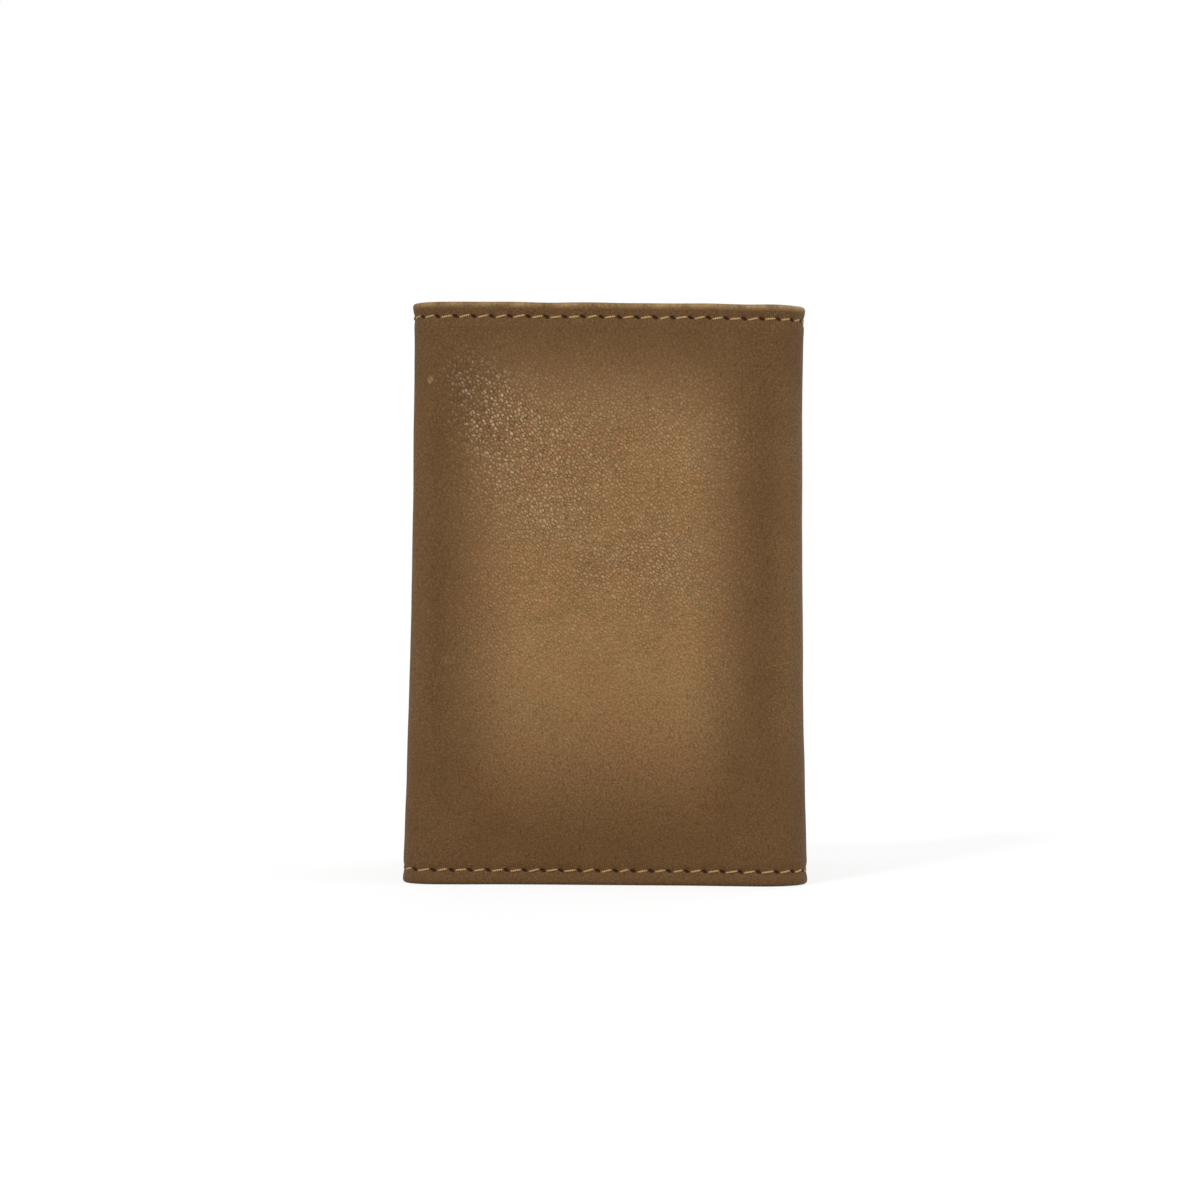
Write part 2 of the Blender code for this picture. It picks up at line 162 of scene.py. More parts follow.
class Socket:
    """An output of a shader node, with the operators that shader maths needs."""

    def __init__(self, shade: "Shading", output: bpy.types.NodeSocket) -> None:
        """Wraps one output of one node of this shading."""
        self.shade = shade
        self.output = output

    def other(self, output: Union[str, int]) -> "Socket":
        """Another output of the same node."""
        return Socket(self.shade, self.output.node.outputs[output])

    def math(self, operation: str, first: "Value", second: "Value" = 0.0) -> "Socket":
        """One Math node."""
        return self.shade.node("ShaderNodeMath", {"operation": operation}, {0: first, 1: second})

    def __add__(self, other: "Value") -> "Socket":
        """The sum."""
        return self.math("ADD", self, other)

    def __radd__(self, other: "Value") -> "Socket":
        """The sum, with the number first."""
        return self.math("ADD", other, self)

    def __sub__(self, other: "Value") -> "Socket":
        """The difference."""
        return self.math("SUBTRACT", self, other)

    def __rsub__(self, other: "Value") -> "Socket":
        """The difference, with the number first."""
        return self.math("SUBTRACT", other, self)

    def __mul__(self, other: "Value") -> "Socket":
        """The product."""
        return self.math("MULTIPLY", self, other)

    def __rmul__(self, other: "Value") -> "Socket":
        """The product, with the number first."""
        return self.math("MULTIPLY", other, self)

    def __truediv__(self, other: "Value") -> "Socket":
        """The quotient."""
        return self.math("DIVIDE", self, other)

    def __rtruediv__(self, other: "Value") -> "Socket":
        """The quotient, with the number first."""
        return self.math("DIVIDE", other, self)

    def sine(self) -> "Socket":
        """The sine."""
        return self.math("SINE", self)

    def highest(self, other: "Value") -> "Socket":
        """The larger of the two."""
        return self.math("MAXIMUM", self, other)

    def off_whole(self) -> "Socket":
        """How far the value is from the nearest whole number, from -0.5 to 0.5."""
        return self - self.math("ROUND", self)

    def step(self, low: float, high: float) -> "Socket":
        """A soft step that is 0 at low and 1 at high.

        Args:
            low: Where the step starts.
            high: Where it ends.

        Returns:
            The step.
        """
        return self.shade.node(
            "ShaderNodeMapRange",
            {"interpolation_type": "SMOOTHSTEP"},
            {"Value": self, "From Min": low, "From Max": high},
        )


Value = Union[Socket, float]


class Shading:
    """A material's node tree under construction."""

    def __init__(self, owner: Union[Material, bpy.types.World]) -> None:
        """Empties the node tree of a material or a world.

        Args:
            owner: The material or the world.
        """
        self.owner = owner
        owner.use_nodes = True
        self.tree = owner.node_tree
        self.tree.nodes.clear()

    @classmethod
    def named(cls, name: str) -> "Shading":
        """The shading of a new material."""
        return cls(bpy.data.materials.new(name))

    def node(
        self,
        kind: str,
        settings: Optional[dict[str, Any]] = None,
        sockets: Optional[dict[Union[str, int], Any]] = None,
        output: Union[str, int] = 0,
    ) -> Socket:
        """Adds a node.

        Args:
            kind: The node's type.
            settings: Properties of the node, which are set before its sockets.
            sockets: A value or a Socket for each input that isn't left as it is.
            output: The output that is wanted.

        Returns:
            That output.
        """
        made = self.tree.nodes.new(kind)
        for key, value in (settings or {}).items():
            setattr(made, key, value)
        for key, value in (sockets or {}).items():
            if isinstance(value, Socket):
                self.tree.links.new(value.output, made.inputs[key])
            else:
                made.inputs[key].default_value = value
        return Socket(self, made.outputs[output])

    def attribute(self, name: str) -> Socket:
        """A vector that the mesh carries at its points."""
        return self.node("ShaderNodeAttribute", {"attribute_name": name}, output="Vector")

    def split(self, vector: Socket) -> tuple[Socket, Socket, Socket]:
        """The three numbers of a vector."""
        first = self.node("ShaderNodeSeparateXYZ", sockets={0: vector})
        return first, first.other(1), first.other(2)

    def noise(self, at: Socket, size: float, detail: float = 2.0, output: str = "Fac") -> Socket:
        """Soft noise.

        Args:
            at: The place.
            size: Its largest features, in metres.
            detail: How many finer octaves it has.
            output: Fac for a number, or Color for three.

        Returns:
            The noise, about 0.5 on average.
        """
        return self.node(
            "ShaderNodeTexNoise",
            {"noise_dimensions": "3D"},
            {"Vector": at, "Scale": 1 / size, "Detail": detail},
            output,
        )

    def cells(self, at: Socket, size: float, feature: str = "F1") -> Socket:
        """Cells scattered over a surface.

        Args:
            at: The place.
            size: Their size, in metres.
            feature: F1 for the distance to the middle of a cell, DISTANCE_TO_EDGE for that to its edge.

        Returns:
            The distance, in cells.
        """
        settings = {"voronoi_dimensions": "2D", "feature": feature}
        return self.node("ShaderNodeTexVoronoi", settings, {"Vector": at, "Scale": 1 / size}, "Distance")

    def turned(self, at: Socket, turn: float, scale: Triple) -> Socket:
        """The place turned about the third axis, then divided by the scale.

        Args:
            at: The place.
            turn: The angle, in radians.
            scale: The scale along each axis.

        Returns:
            The new place.
        """
        return self.node(
            "ShaderNodeMapping",
            {"vector_type": "TEXTURE"},
            {"Vector": at, "Rotation": (0.0, 0.0, turn), "Scale": scale},
        )

    def shaken(self, at: Socket, shake: Socket, reach: float) -> Socket:
        """The place moved by three noises, up to about half this reach each way.

        Args:
            at: The place.
            shake: The three noises, as a colour.
            reach: The reach, in metres.

        Returns:
            The new place.
        """
        centred = self.node(
            "ShaderNodeVectorMath", {"operation": "SUBTRACT"}, {0: shake, 1: (0.5, 0.5, 0.5)}
        )
        return self.node(
            "ShaderNodeVectorMath",
            {"operation": "MULTIPLY_ADD"},
            {0: centred, 1: (reach, reach, reach), 2: at},
        )

    def mix(self, share: Value, first: Any, second: Any) -> Socket:
        """A colour between two, by a share from 0 to 1."""
        ends = [end if isinstance(end, Socket) else (*end, 1.0) for end in (first, second)]
        return self.node("ShaderNodeMix", {"data_type": "RGBA"}, {0: share, 6: ends[0], 7: ends[1]}, 2)

    def bump(self, height: Socket, distance: float) -> Socket:
        """A normal for relief whose height of 1 stands this far out, in metres."""
        return self.node("ShaderNodeBump", sockets={"Height": height, "Distance": distance})

    def principled(self, sockets: dict[str, Any]) -> Material:
        """Ends a material in one Principled shader.

        Args:
            sockets: The shader's inputs, as constants or Sockets.

        Returns:
            The finished material.
        """
        self.output(self.node("ShaderNodeBsdfPrincipled", sockets=sockets))
        return self.owner

    def output(self, shader: Socket) -> None:
        """Ends the tree in this shader.

        Args:
            shader: The last shader.
        """
        is_world = isinstance(self.owner, bpy.types.World)
        made = self.tree.nodes.new("ShaderNodeOutputWorld" if is_world else "ShaderNodeOutputMaterial")
        self.tree.links.new(shader.output, made.inputs["Surface"])


class Recipe:
    """A finish that is put together from shader nodes."""

    def make(self, name: str) -> Material:
        """The finished material under this name."""
        shade = Shading.named(name)
        return shade.principled(self.sockets(shade))

    def sockets(self, shade: Shading) -> dict[str, Any]:
        """The inputs of its Principled shader, which each recipe gives."""
        raise NotImplementedError


@dataclass(frozen=True)
class Scuff:
    """A spot on the leather, either a scuff or an area of painted glints: its middle on the lay and half its
    sizes, in millimetres, and its slant.
    """

    along: float
    up: float
    length: float
    width: float
    turn: float
    strength: float


@dataclass(frozen=True)
class Leather(Recipe):
    """Grained leather. Its margins are burnished dark with painted shade, its edges are rubbed pale with
    painted highlight, its creases and needle slits hold painted shade, and its pebble tops painted
    highlights and glints.
    """

    pale: Colour
    tan: Colour
    ruddy: Colour
    # colour of the dark margins: burnish, with painted shade on the outer leather
    dark: Colour
    # pale colour of rubbed wear, also used for painted highlights on the pebble tops, the grain caps and the
    # rims
    rubbed: Colour
    cell: float
    relief: float
    gloss: float
    matt: float
    specular: float = 0.16
    # near-black painted shade for the needle slits and for the creases and pits of the grain; also the dark
    # of the fibre streaks
    slit: Colour = (0.028, 0.011, 0.002)
    # colour of the painted glints on the pebble tops
    spark: Colour = (0.62, 0.48, 0.31)
    patch_size: float = 22 * MM
    blot_size: float = 11 * MM
    glow_size: float = 9 * MM
    cloud_size: float = 7 * MM
    rub_size: float = 3 * MM
    shake_size: float = 1.2 * MM
    shake_reach: float = 0.9 * MM
    speck_size: float = 0.8 * MM
    fibre_size: float = 0.4 * MM
    row_slant: float = math.radians(-52)
    row_stretch: float = 1.4
    fine_share: float = 0.62
    slit_length: float = 0.6 * MM
    slit_width: float = 0.31 * MM
    slit_run: float = 0.93
    slit_rise: float = 0.37
    scuffs: tuple[Scuff, ...] = ()
    # areas where glints are painted, as painted highlight
    shines: tuple[Scuff, ...] = ()

    @property
    def olive(self) -> Colour:
        """The greener of its two tans."""
        red, green, blue = self.tan
        return red * 0.92, green * 1.1, blue * 1.05

    def sockets(self, shade: Shading) -> dict[str, Any]:
        """Mottled colour, pebble grain, needle slits and wear, with painted shade in the creases and slits
        and painted highlights and glints on the pebble tops, and their gloss and relief.

        Args:
            shade: The material's shading.

        Returns:
            The inputs of its Principled shader.
        """
        lay = shade.attribute("lay")
        burnish, rubbed, calm = shade.split(shade.attribute("tone"))
        patch = shade.noise(lay, self.patch_size, 3.0)
        cloud = shade.noise(lay, self.cloud_size, 4.0)
        fibre = shade.noise(shade.turned(lay, 0.0, (1.0, 4.0, 1.0)), self.fibre_size, 3.0)
        pebble, crease, chance, fine = self.grain(shade, lay)
        lively = 1.0 - calm
        # how strongly the painted highlights on the pebble tops show, and how glossy the tops are
        glow = shade.noise(shade.turned(lay, 0.5, (1.0, 1.6, 1.0)), self.glow_size, 3.0)
        bright = (glow - 0.5) * 3.0 + 0.6
        slit = self.slits(shade)
        marks = self.marks(shade, lay, self.scuffs) * (pebble + 0.4)
        glint_area = self.marks(shade, lay, self.shines)
        blot = shade.noise(shade.turned(lay, 1.1, (1.0, 1.5, 1.0)), self.blot_size, 3.0)
        warm, cool, _ = shade.split(shade.noise(lay, self.speck_size, 2.0, "Color"))

        tops = pebble * lively
        # glints are painted on a chance share of the pebble tops
        glint_fleck = pebble * (chance - 0.3).step(0.0, 0.7) * (warm * 1.3) * (fine * 0.9 + 0.5)
        lightening = shade.noise(lay, self.rub_size, 4.0) * 2.6 - 0.6 + (fibre - 0.5) * 1.2
        coats = (
            ((cloud - 0.5) * 2.4 + 0.5, self.pale),
            ((patch - 0.5) * 2.2 + 0.3 + (warm - 0.5) * 2.0, self.ruddy),
            ((blot - 0.5) * 1.8 + (cool - 0.5) * 2.4, self.olive),
            # darker margins: burnish, with painted shade on the outer leather
            (burnish + (cloud - 0.5) * 0.3, self.dark),
            # painted shade in the creases between pebbles, deeper in the glint areas
            (crease * (lively + glint_area * 1.2) * (cool * 1.6 - 0.2) * 0.46, self.slit),
            # painted shade in the pits of the finer grain
            ((0.5 - fine) * (calm * 0.46 + 0.06), self.slit),
            # painted highlight on the caps of the finer grain
            ((fine - 0.5) * (calm - burnish) * 0.8, self.rubbed),
            # painted highlight on the pebble tops
            (tops * (chance * 0.28 + bright * 0.15 + 0.06), self.rubbed),
            # painted glints
            (glint_fleck * glint_area, self.spark),
            ((fibre - 0.5).step(0.0, 0.3) * (calm * 0.3 + 0.2), self.slit),
            # rubbed edges and scuffs, with painted highlight on the rounded rims
            (rubbed * lightening + marks, self.rubbed),
            # painted shade in the needle slits
            (slit, self.slit),
        )
        colour: Any = self.tan
        for share, coat in coats:
            colour = shade.mix(share, colour, coat)

        rough = self.matt - tops * (bright * 0.4 + 0.6) * (self.matt - self.gloss)
        rough = rough + burnish * 0.12 + (cloud - 0.5) * 0.1
        height = tops + (fine - 0.5) * calm * 0.55 - slit * 2.0
        height = height + (fibre - 0.5) * 0.4 + (cloud - 0.5) * 0.5
        return {
            "Base Color": colour,
            "Roughness": rough,
            "Specular IOR Level": self.specular,
            "Normal": shade.bump(height, self.relief),
        }

    def grain(self, shade: Shading, lay: Socket) -> tuple[Socket, Socket, Socket, Socket]:
        """The grain: small uneven pebbles in slanting rows, creases between them, and a finer grain.

        Args:
            shade: The material's shading.
            lay: The place on the flat lay.

        Returns:
            The pebbles' height, the creases, a number by chance for each pebble, and the finer grain.
        """
        slanted = shade.turned(lay, self.row_slant, (self.row_stretch, 1.0, 1.0))
        shake = shade.noise(lay, self.shake_size, 3.0, "Color")
        place = shade.shaken(slanted, shake, self.shake_reach)
        middle = shade.cells(place, self.cell)
        chance, _, _ = shade.split(middle.other("Color"))
        crease = 1.0 - shade.cells(place, self.cell, "DISTANCE_TO_EDGE").step(0.0, 0.2)
        fine = 1.0 - shade.cells(place, self.cell * self.fine_share).step(0.05, 0.6)
        pebble = (1.0 - middle.step(0.1, 0.65)) * (1.0 - crease)
        return pebble, crease, chance, fine

    def marks(self, shade: Shading, lay: Socket, scuffs: Sequence[Scuff]) -> Value:
        """A mask of spots at known places on the lay: scuffs, and areas of painted glints.

        Args:
            shade: The material's shading.
            lay: The place on the flat lay.
            scuffs: The spots: the scuffs in one call, the areas of painted glints in the other.

        Returns:
            The mask, which is 0 where there is no mark.
        """
        along, up, _ = shade.split(lay)
        total: Value = 0.0
        for spot in scuffs:
            first, second = along - spot.along * MM, up - spot.up * MM
            cosine, sine = math.cos(spot.turn), math.sin(spot.turn)
            run = (first * cosine + second * sine) / (spot.length * MM)
            across = (second * cosine - first * sine) / (spot.width * MM)
            near = 1.0 - (run * run + across * across).step(0.0, 2.4)
            total = near * near * spot.strength + total
        return total

    def slits(self, shade: Shading) -> Socket:
        """A mask of the slanted needle slits between the stitches of a seam.

        Args:
            shade: The material's shading.

        Returns:
            The mask, which is 1 in a slit.
        """
        phase, across, sewn = shade.split(shade.attribute("seam"))
        run = phase.off_whole() * STITCH_PITCH
        first = (run * self.slit_run - across * self.slit_rise) / self.slit_length
        second = (run * self.slit_rise + across * self.slit_run) / self.slit_width
        far = first * first + second * second
        return (1.0 - far.step(0.45, 1.0)) * sewn


@dataclass(frozen=True)
class Twill(Recipe):
    """A lining cloth with the slanted ribs of twill."""

    face: Colour
    shadow: Colour
    rib: float = 0.55 * MM
    uneven_size: float = 2.5 * MM
    relief: float = 0.06 * MM

    def sockets(self, shade: Shading) -> dict[str, Any]:
        """Ribs, the yarns across them, and a little unevenness.

        Args:
            shade: The material's shading.

        Returns:
            The inputs of its Principled shader.
        """
        lay = shade.attribute("lay")
        along, up, _ = shade.split(lay)
        uneven = shade.noise(lay, self.uneven_size, 3.0)
        turn = 2 * math.pi / self.rib
        ribs = ((along + up * 0.8) * turn + uneven * 1.5).sine() * 0.5 + 0.5
        yarns = ((along - up * 1.3) * (turn * 1.9)).sine() * 0.5 + 0.5
        height = ribs * 0.7 + yarns * 0.3
        return {
            "Base Color": shade.mix(height * 0.8 + (uneven - 0.5) * 0.6, self.shadow, self.face),
            "Roughness": 0.8 + (uneven - 0.5) * 0.2,
            "Specular IOR Level": 0.2,
            "Sheen Weight": 0.15,
            "Normal": shade.bump(height, self.relief),
        }


@dataclass(frozen=True)
class Twine(Recipe):
    """Waxed sewing thread of two twisted plies."""

    light: Colour
    shadow: Colour
    twist: float = 0.42 * MM
    fibre_size: float = 0.15 * MM
    relief: float = 0.05 * MM

    def sockets(self, shade: Shading) -> dict[str, Any]:
        """The plies' slanted grooves, and fibres along them.

        Args:
            shade: The material's shading.

        Returns:
            The inputs of its Principled shader.
        """
        place = shade.attribute("ply")
        run, turn, _ = shade.split(place)
        plies = (run * (2 * math.pi / self.twist) + turn).sine() * 0.5 + 0.5
        fibre = shade.noise(place, self.fibre_size, 2.0)
        return {
            "Base Color": shade.mix(plies.step(0.0, 0.5) * 0.8 + fibre * 0.2, self.shadow, self.light),
            "Roughness": 0.5 + fibre * 0.2,
            "Specular IOR Level": 0.35,
            "Normal": shade.bump(plies + fibre * 0.2, self.relief),
        }


@dataclass(frozen=True)
class Film(Recipe):
    """Clear plastic film, a little cloudy and scuffed."""

    tint: Colour
    scuffed: Colour
    ripple_size: float = 14.0 * MM
    scuff_size: float = 3.0 * MM
    relief: float = 0.12 * MM

    def sockets(self, shade: Shading) -> dict[str, Any]:
        """Cloudiness in its alpha, scuffs in its gloss, ripples in its surface.

        Args:
            shade: The material's shading.

        Returns:
            The inputs of its Principled shader.
        """
        lay = shade.attribute("lay")
        ripple = shade.noise(lay, self.ripple_size, 2.0)
        spot = shade.noise(shade.turned(lay, 0.4, (6.0, 1.0, 1.0)), self.scuff_size, 4.0)
        return {
            "Base Color": shade.mix(spot, self.tint, self.scuffed),
            "Roughness": 0.08 + spot.step(0.5, 0.8) * 0.12,
            "Alpha": 0.15 + spot.step(0.5, 0.85) * 0.06,
            "Specular IOR Level": 0.5,
            "Normal": shade.bump(ripple, self.relief),
        }


class Finish(Enum):
    """The wallet's finishes, by the names of the record's slots."""

    SHELL = "shell_leather"
    POCKET = "pocket_leather"
    DIVIDER = "divider_leather"
    CLOTH = "lining_cloth"
    THREAD = "seam_thread"
    FILM = "window_film"


RECIPES: dict[Finish, Recipe] = {
    Finish.SHELL: Leather(
        pale=(0.354, 0.198, 0.079),
        tan=(0.267, 0.142, 0.0525),
        ruddy=(0.309, 0.140, 0.0495),
        dark=(0.1235, 0.0590, 0.0185),
        rubbed=(0.45, 0.292, 0.130),
        cell=0.6 * MM,
        relief=0.15 * MM,
        gloss=0.2,
        matt=0.56,
        scuffs=(
            Scuff(-32.4, 95.4, 0.85, 0.6, 1.0, 0.4),
            Scuff(35.3, 42.1, 4.6, 0.1, 0.18, 0.24),
            Scuff(-35.0, 44.1, 0.25, 0.2, 0.0, 0.45),
            Scuff(-28.5, 42.4, 1.2, 0.8, 0.3, 0.14),
        ),
        # areas of painted glints, where the key lamp's highlight falls on the upper left of the puff
        shines=(
            Scuff(-22.5, 91.5, 9.0, 6.0, 2.1, 0.56),
            Scuff(-14.0, 81.0, 16.0, 9.0, 2.1, 0.44),
            Scuff(8.5, 61.0, 12.0, 6.5, 0.2, 0.27),
            Scuff(-6.0, 72.0, 24.0, 14.0, 2.4, 0.2),
            Scuff(2.0, 85.0, 26.0, 8.0, 0.0, 0.19),
        ),
    ),
    Finish.POCKET: Leather(
        pale=(0.215, 0.118, 0.050),
        tan=(0.165, 0.088, 0.036),
        ruddy=(0.180, 0.088, 0.035),
        dark=(0.098, 0.052, 0.021),
        rubbed=(0.28, 0.175, 0.088),
        cell=0.66 * MM,
        relief=0.07 * MM,
        gloss=0.36,
        matt=0.58,
    ),
    Finish.DIVIDER: Leather(
        pale=(0.185, 0.102, 0.045),
        tan=(0.145, 0.078, 0.033),
        ruddy=(0.155, 0.078, 0.032),
        dark=(0.09, 0.048, 0.02),
        rubbed=(0.24, 0.15, 0.078),
        cell=0.55 * MM,
        relief=0.05 * MM,
        gloss=0.45,
        matt=0.64,
    ),
    Finish.CLOTH: Twill(face=(0.15, 0.125, 0.08), shadow=(0.055, 0.043, 0.026)),
    Finish.THREAD: Twine(light=(0.56, 0.355, 0.158), shadow=(0.20, 0.115, 0.042)),
    Finish.FILM: Film(tint=(0.24, 0.245, 0.24), scuffed=(0.34, 0.34, 0.33)),
}


@dataclass(frozen=True)
class Fold:
    """The soft spine on one side, and the wing's length beyond it."""

    side: Side
    axis_x: float
    axis_y: float
    radius: float
    reach: float

    @classmethod
    def measured(cls, side: Side) -> "Fold":
        """Takes a fold's place from its joint, and its radius and reach from the wing's leather.

        Args:
            side: The side that the fold is on.

        Returns:
            The fold.
        """
        joint = next(item for item in frame["joints"] if item["name"] == f"{side.label}_fold")
        low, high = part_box(f"{side.label}_shell")
        x, y, _ = joint["pos_m"]
        face = low.x if side is Side.LEFT else high.x
        return cls(side, x, y, abs(face - x), high.y - y)

    @property
    def arc(self) -> float:
        """The length of the leather round the fold."""
        return self.radius * QUARTER

    @property
    def spread(self) -> float:
        """How far the bending reaches past the fold's ends, so that opened flat it doesn't crumple."""
        return self.radius * math.sqrt(2) / 3

    def bend_ends(self) -> tuple[Triple, Triple]:
        """Where the bending starts on the middle panel and ends on the wing.

        Returns:
            The two places, at the height of the lower edge.
        """
        side, past = self.side.value, self.spread / math.sqrt(2)
        front = self.axis_y - self.radius
        start = (self.axis_x - side * past, front - past, 0.0)
        end = (self.axis_x + side * (self.radius + past), self.axis_y + past, 0.0)
        return start, end


@dataclass(frozen=True)
class Form:
    """The wallet's shape at rest: the puffed middle panel, two folds, two wings straight back."""

    height: float
    front_y: float
    crown: float
    half: float
    middle: float
    folds: dict[Side, Fold]
    squareness: float = 4.0
    rise_start: float = 2.0 * MM
    rise: float = 40.0 * MM
    rise_power: float = 3.0
    mouth_reach: float = 24.0 * MM
    mouth_drop: float = 0.62
    pinch: float = 0.45 * MM
    foot_flare: float = 1.5 * MM
    foot_reach: float = 92.0 * MM
    head_flare: float = 0.4 * MM
    head_reach: float = 9.0 * MM
    flare_reach: float = 16.0 * MM
    top_waver: float = 0.2 * MM
    waver_length: float = 10.0 * MM
    waver_reach: float = 9.0 * MM
    seam_inset: float = 2.75 * MM
    lap_spare: float = 2.5 * MM
    divider_draw: float = 0.27 * MM
    sewn: float = 2.6 * MM
    loose: float = 9.0 * MM

    @classmethod
    def measured(cls) -> "Form":
        """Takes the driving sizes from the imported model.

        Returns:
            The form.
        """
        folds = {side: Fold.measured(side) for side in Side}
        left, right = folds[Side.LEFT], folds[Side.RIGHT]
        front_y = left.axis_y - left.radius
        low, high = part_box("center_shell")
        return cls(
            height=high.z,
            front_y=front_y,
            crown=front_y - low.y,
            half=(right.axis_x - left.axis_x) / 2,
            middle=(right.axis_x + left.axis_x) / 2,
            folds=folds,
        )

    def lap(self, side: Side) -> float:
        """How far the side pieces reach on to the middle panel, past all that bends."""
        return self.folds[side].spread * math.sqrt(2) + self.lap_spare

    def border(self, side: Side) -> float:
        """Where a side piece meets the middle piece, along the lay."""
        return side.value * (self.half - self.lap(side))

    def borders(self) -> tuple[float, float]:
        """Where both side pieces meet the middle piece, left and right."""
        return self.border(Side.LEFT), self.border(Side.RIGHT)

    def end(self, side: Side) -> float:
        """The free end of a wing, as a distance from the middle of the lay."""
        fold = self.folds[side]
        return self.half + fold.arc + fold.reach

    def pitch(self, side: Side) -> float:
        """The stitch length along the long seams, so that a stitch ends in the corner of the seam."""
        run = self.end(side) - self.seam_inset
        return run / round(run / STITCH_PITCH)

    def end_pitch(self) -> float:
        """The stitch length along a wing's free end."""
        run = self.height - 2 * self.seam_inset
        return run / round(run / STITCH_PITCH)

    def level_places(self, side: Side) -> list[float]:
        """Where the stitches of a long seam lie along the lay, from its middle to a free end.

        Args:
            side: The side of the lay.

        Returns:
            The stitches' middles.
        """
        pitch = self.pitch(side)
        count = round((self.end(side) - self.seam_inset) / pitch)
        return [side.value * (k + 0.5) * pitch for k in range(count)]

    def upright_places(self, top: float) -> list[float]:
        """The heights of the stitches of an upright seam, from the lower seam to under this height.

        Args:
            top: The height that no stitch reaches past.

        Returns:
            The stitches' middles.
        """
        pitch = self.end_pitch()
        count = math.floor((top - self.seam_inset + NEAR) / pitch)
        return [self.seam_inset + (k + 0.5) * pitch for k in range(count)]

    def end_seam(self, side: Side) -> float:
        """Where the seam up a free end stands along the lay."""
        return side.value * (self.end(side) - self.seam_inset)

    def end_seams(self) -> list[float]:
        """Where the seams up both free ends stand along the lay."""
        return [self.end_seam(side) for side in Side]

    def beside(self, along: float, up: float, uprights: Sequence[float], levels: Sequence[float]) -> Triple:
        """Where a place lies beside the nearest seam.

        Args:
            along: Distance along the lay.
            up: Height above the lower edge.
            uprights: Where upright seams stand along the lay.
            levels: The heights of level seams.

        Returns:
            The count of stitches along the seam, the distance across it, and that along it from a hole.
        """
        pitch = self.pitch(Side.of(along))
        phase = along / pitch
        across = min((up - level for level in levels), key=abs)
        sideways = min((upright - along for upright in uprights), key=abs)
        if abs(sideways) < abs(across):
            pitch = self.end_pitch()
            phase, across = (up - self.seam_inset) / pitch, sideways
        return phase, across, (phase - round(phase)) * pitch

    def held(self, edge: float) -> float:
        """How firmly layers are held this far from a sewn edge: 1 at its seam, 0 where they lie free."""
        return fade(self.sewn, self.loose, edge)

    def draw(self, along: float, up: float) -> float:
        """How far the divider is drawn to the leather near the lower edge and the free ends."""
        edge = min(up, self.end(Side.of(along)) - abs(along))
        return self.divider_draw * self.held(edge)

    def hump(self, along: float, up: float) -> float:
        """How far the middle panel stands out over its contents, with flat margins all round.

        Args:
            along: Distance along the lay.
            up: Height above the lower edge.

        Returns:
            The distance outwards.
        """
        across = (1 - min(abs(along) / self.half, 1.0) ** self.squareness) ** 2
        risen = min(max((up - self.rise_start) / self.rise, 0.0), 1.0)
        upright = (1 - (1 - risen) ** self.rise_power) ** 2
        mouth = 1 - self.mouth_drop * smooth(self.height - self.mouth_reach, self.height, up)
        return self.crown * across * upright * mouth

    def flare(self, along: float, up: float) -> float:
        """How far the folds stand out at this height: drawn in at the waist, spread at the foot.

        Args:
            along: Distance along the lay.
            up: Height above the lower edge.

        Returns:
            The distance outwards, which is negative where the fold is drawn in.
        """
        foot = max(1 - up / self.foot_reach, 0.0) ** 2
        head = max((up - self.height + self.head_reach) / self.head_reach, 0.0) ** 2
        share = smooth(self.half - self.flare_reach, self.half, abs(along))
        return share * (self.foot_flare * foot + self.head_flare * head - self.pinch)

    def waver(self, along: float, up: float) -> float:
        """How far the upper edge wavers up and down."""
        wave = noise.noise(Vector((along / self.waver_length, 0.3, 0.9)))
        return self.top_waver * wave * smooth(self.height - self.waver_reach, self.height, up)

    def place(self, along: float, depth: float, up: float, puff: float) -> Vector:
        """Where a place of the flat lay is on the wallet.

        Args:
            along: Distance from the middle of the lay, negative to the left.
            depth: Distance inwards from the outer face of the leather.
            up: Height above the lower edge.
            puff: Share of the crown that this layer follows.

        Returns:
            The point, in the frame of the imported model.
        """
        side = Side.of(along)
        fold = self.folds[side]
        swell = self.flare(along, up)
        up += self.waver(along, up)
        beyond = abs(along) - self.half
        if beyond <= 0:
            front = self.front_y + depth - swell - puff * self.hump(along, up)
            return Vector((self.middle + along, front, up))
        far = fold.radius - depth + swell
        turn = min(beyond / fold.radius, QUARTER)
        straight = max(beyond - fold.arc, 0.0)
        across = fold.axis_x + side.value * far * math.sin(turn)
        return Vector((across, fold.axis_y - far * math.cos(turn) + straight, up))


@dataclass(frozen=True)
class Laid:
    """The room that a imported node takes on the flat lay."""

    start: float
    stop: float
    low: float
    high: float
    depth: float
    thickness: float

    @classmethod
    def of(cls, form: Form, node: str) -> "Laid":
        """Reads a node's box as lengths of the lay.

        Args:
            form: The wallet's form.
            node: The name of a flat node of the middle panel or a wing.

        Returns:
            Its ends along the lay, its heights, its depth and its thickness.
        """
        low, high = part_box(node)
        for side, fold in form.folds.items():
            if node.startswith(side.label):
                face = fold.axis_x + side.value * fold.radius
                near, far = sorted(abs(face - x) for x in (low.x, high.x))
                first = form.half + fold.arc
                ends = sorted(side.value * (first + y - fold.axis_y) for y in (low.y, high.y))
                return cls(ends[0], ends[1], low.z, high.z, near, far - near)
        start, stop = low.x - form.middle, high.x - form.middle
        return cls(start, stop, low.z, high.z, low.y - form.front_y, high.y - low.y)

    @property
    def middle(self) -> float:
        """Halfway along it."""
        return (self.start + self.stop) / 2

    def inwards(self, depth: float) -> float:
        """How far through it a place is: 0 in its outer third, 1 on its inner face."""
        return smooth(0.3, 1.0, (depth - self.depth) / self.thickness)


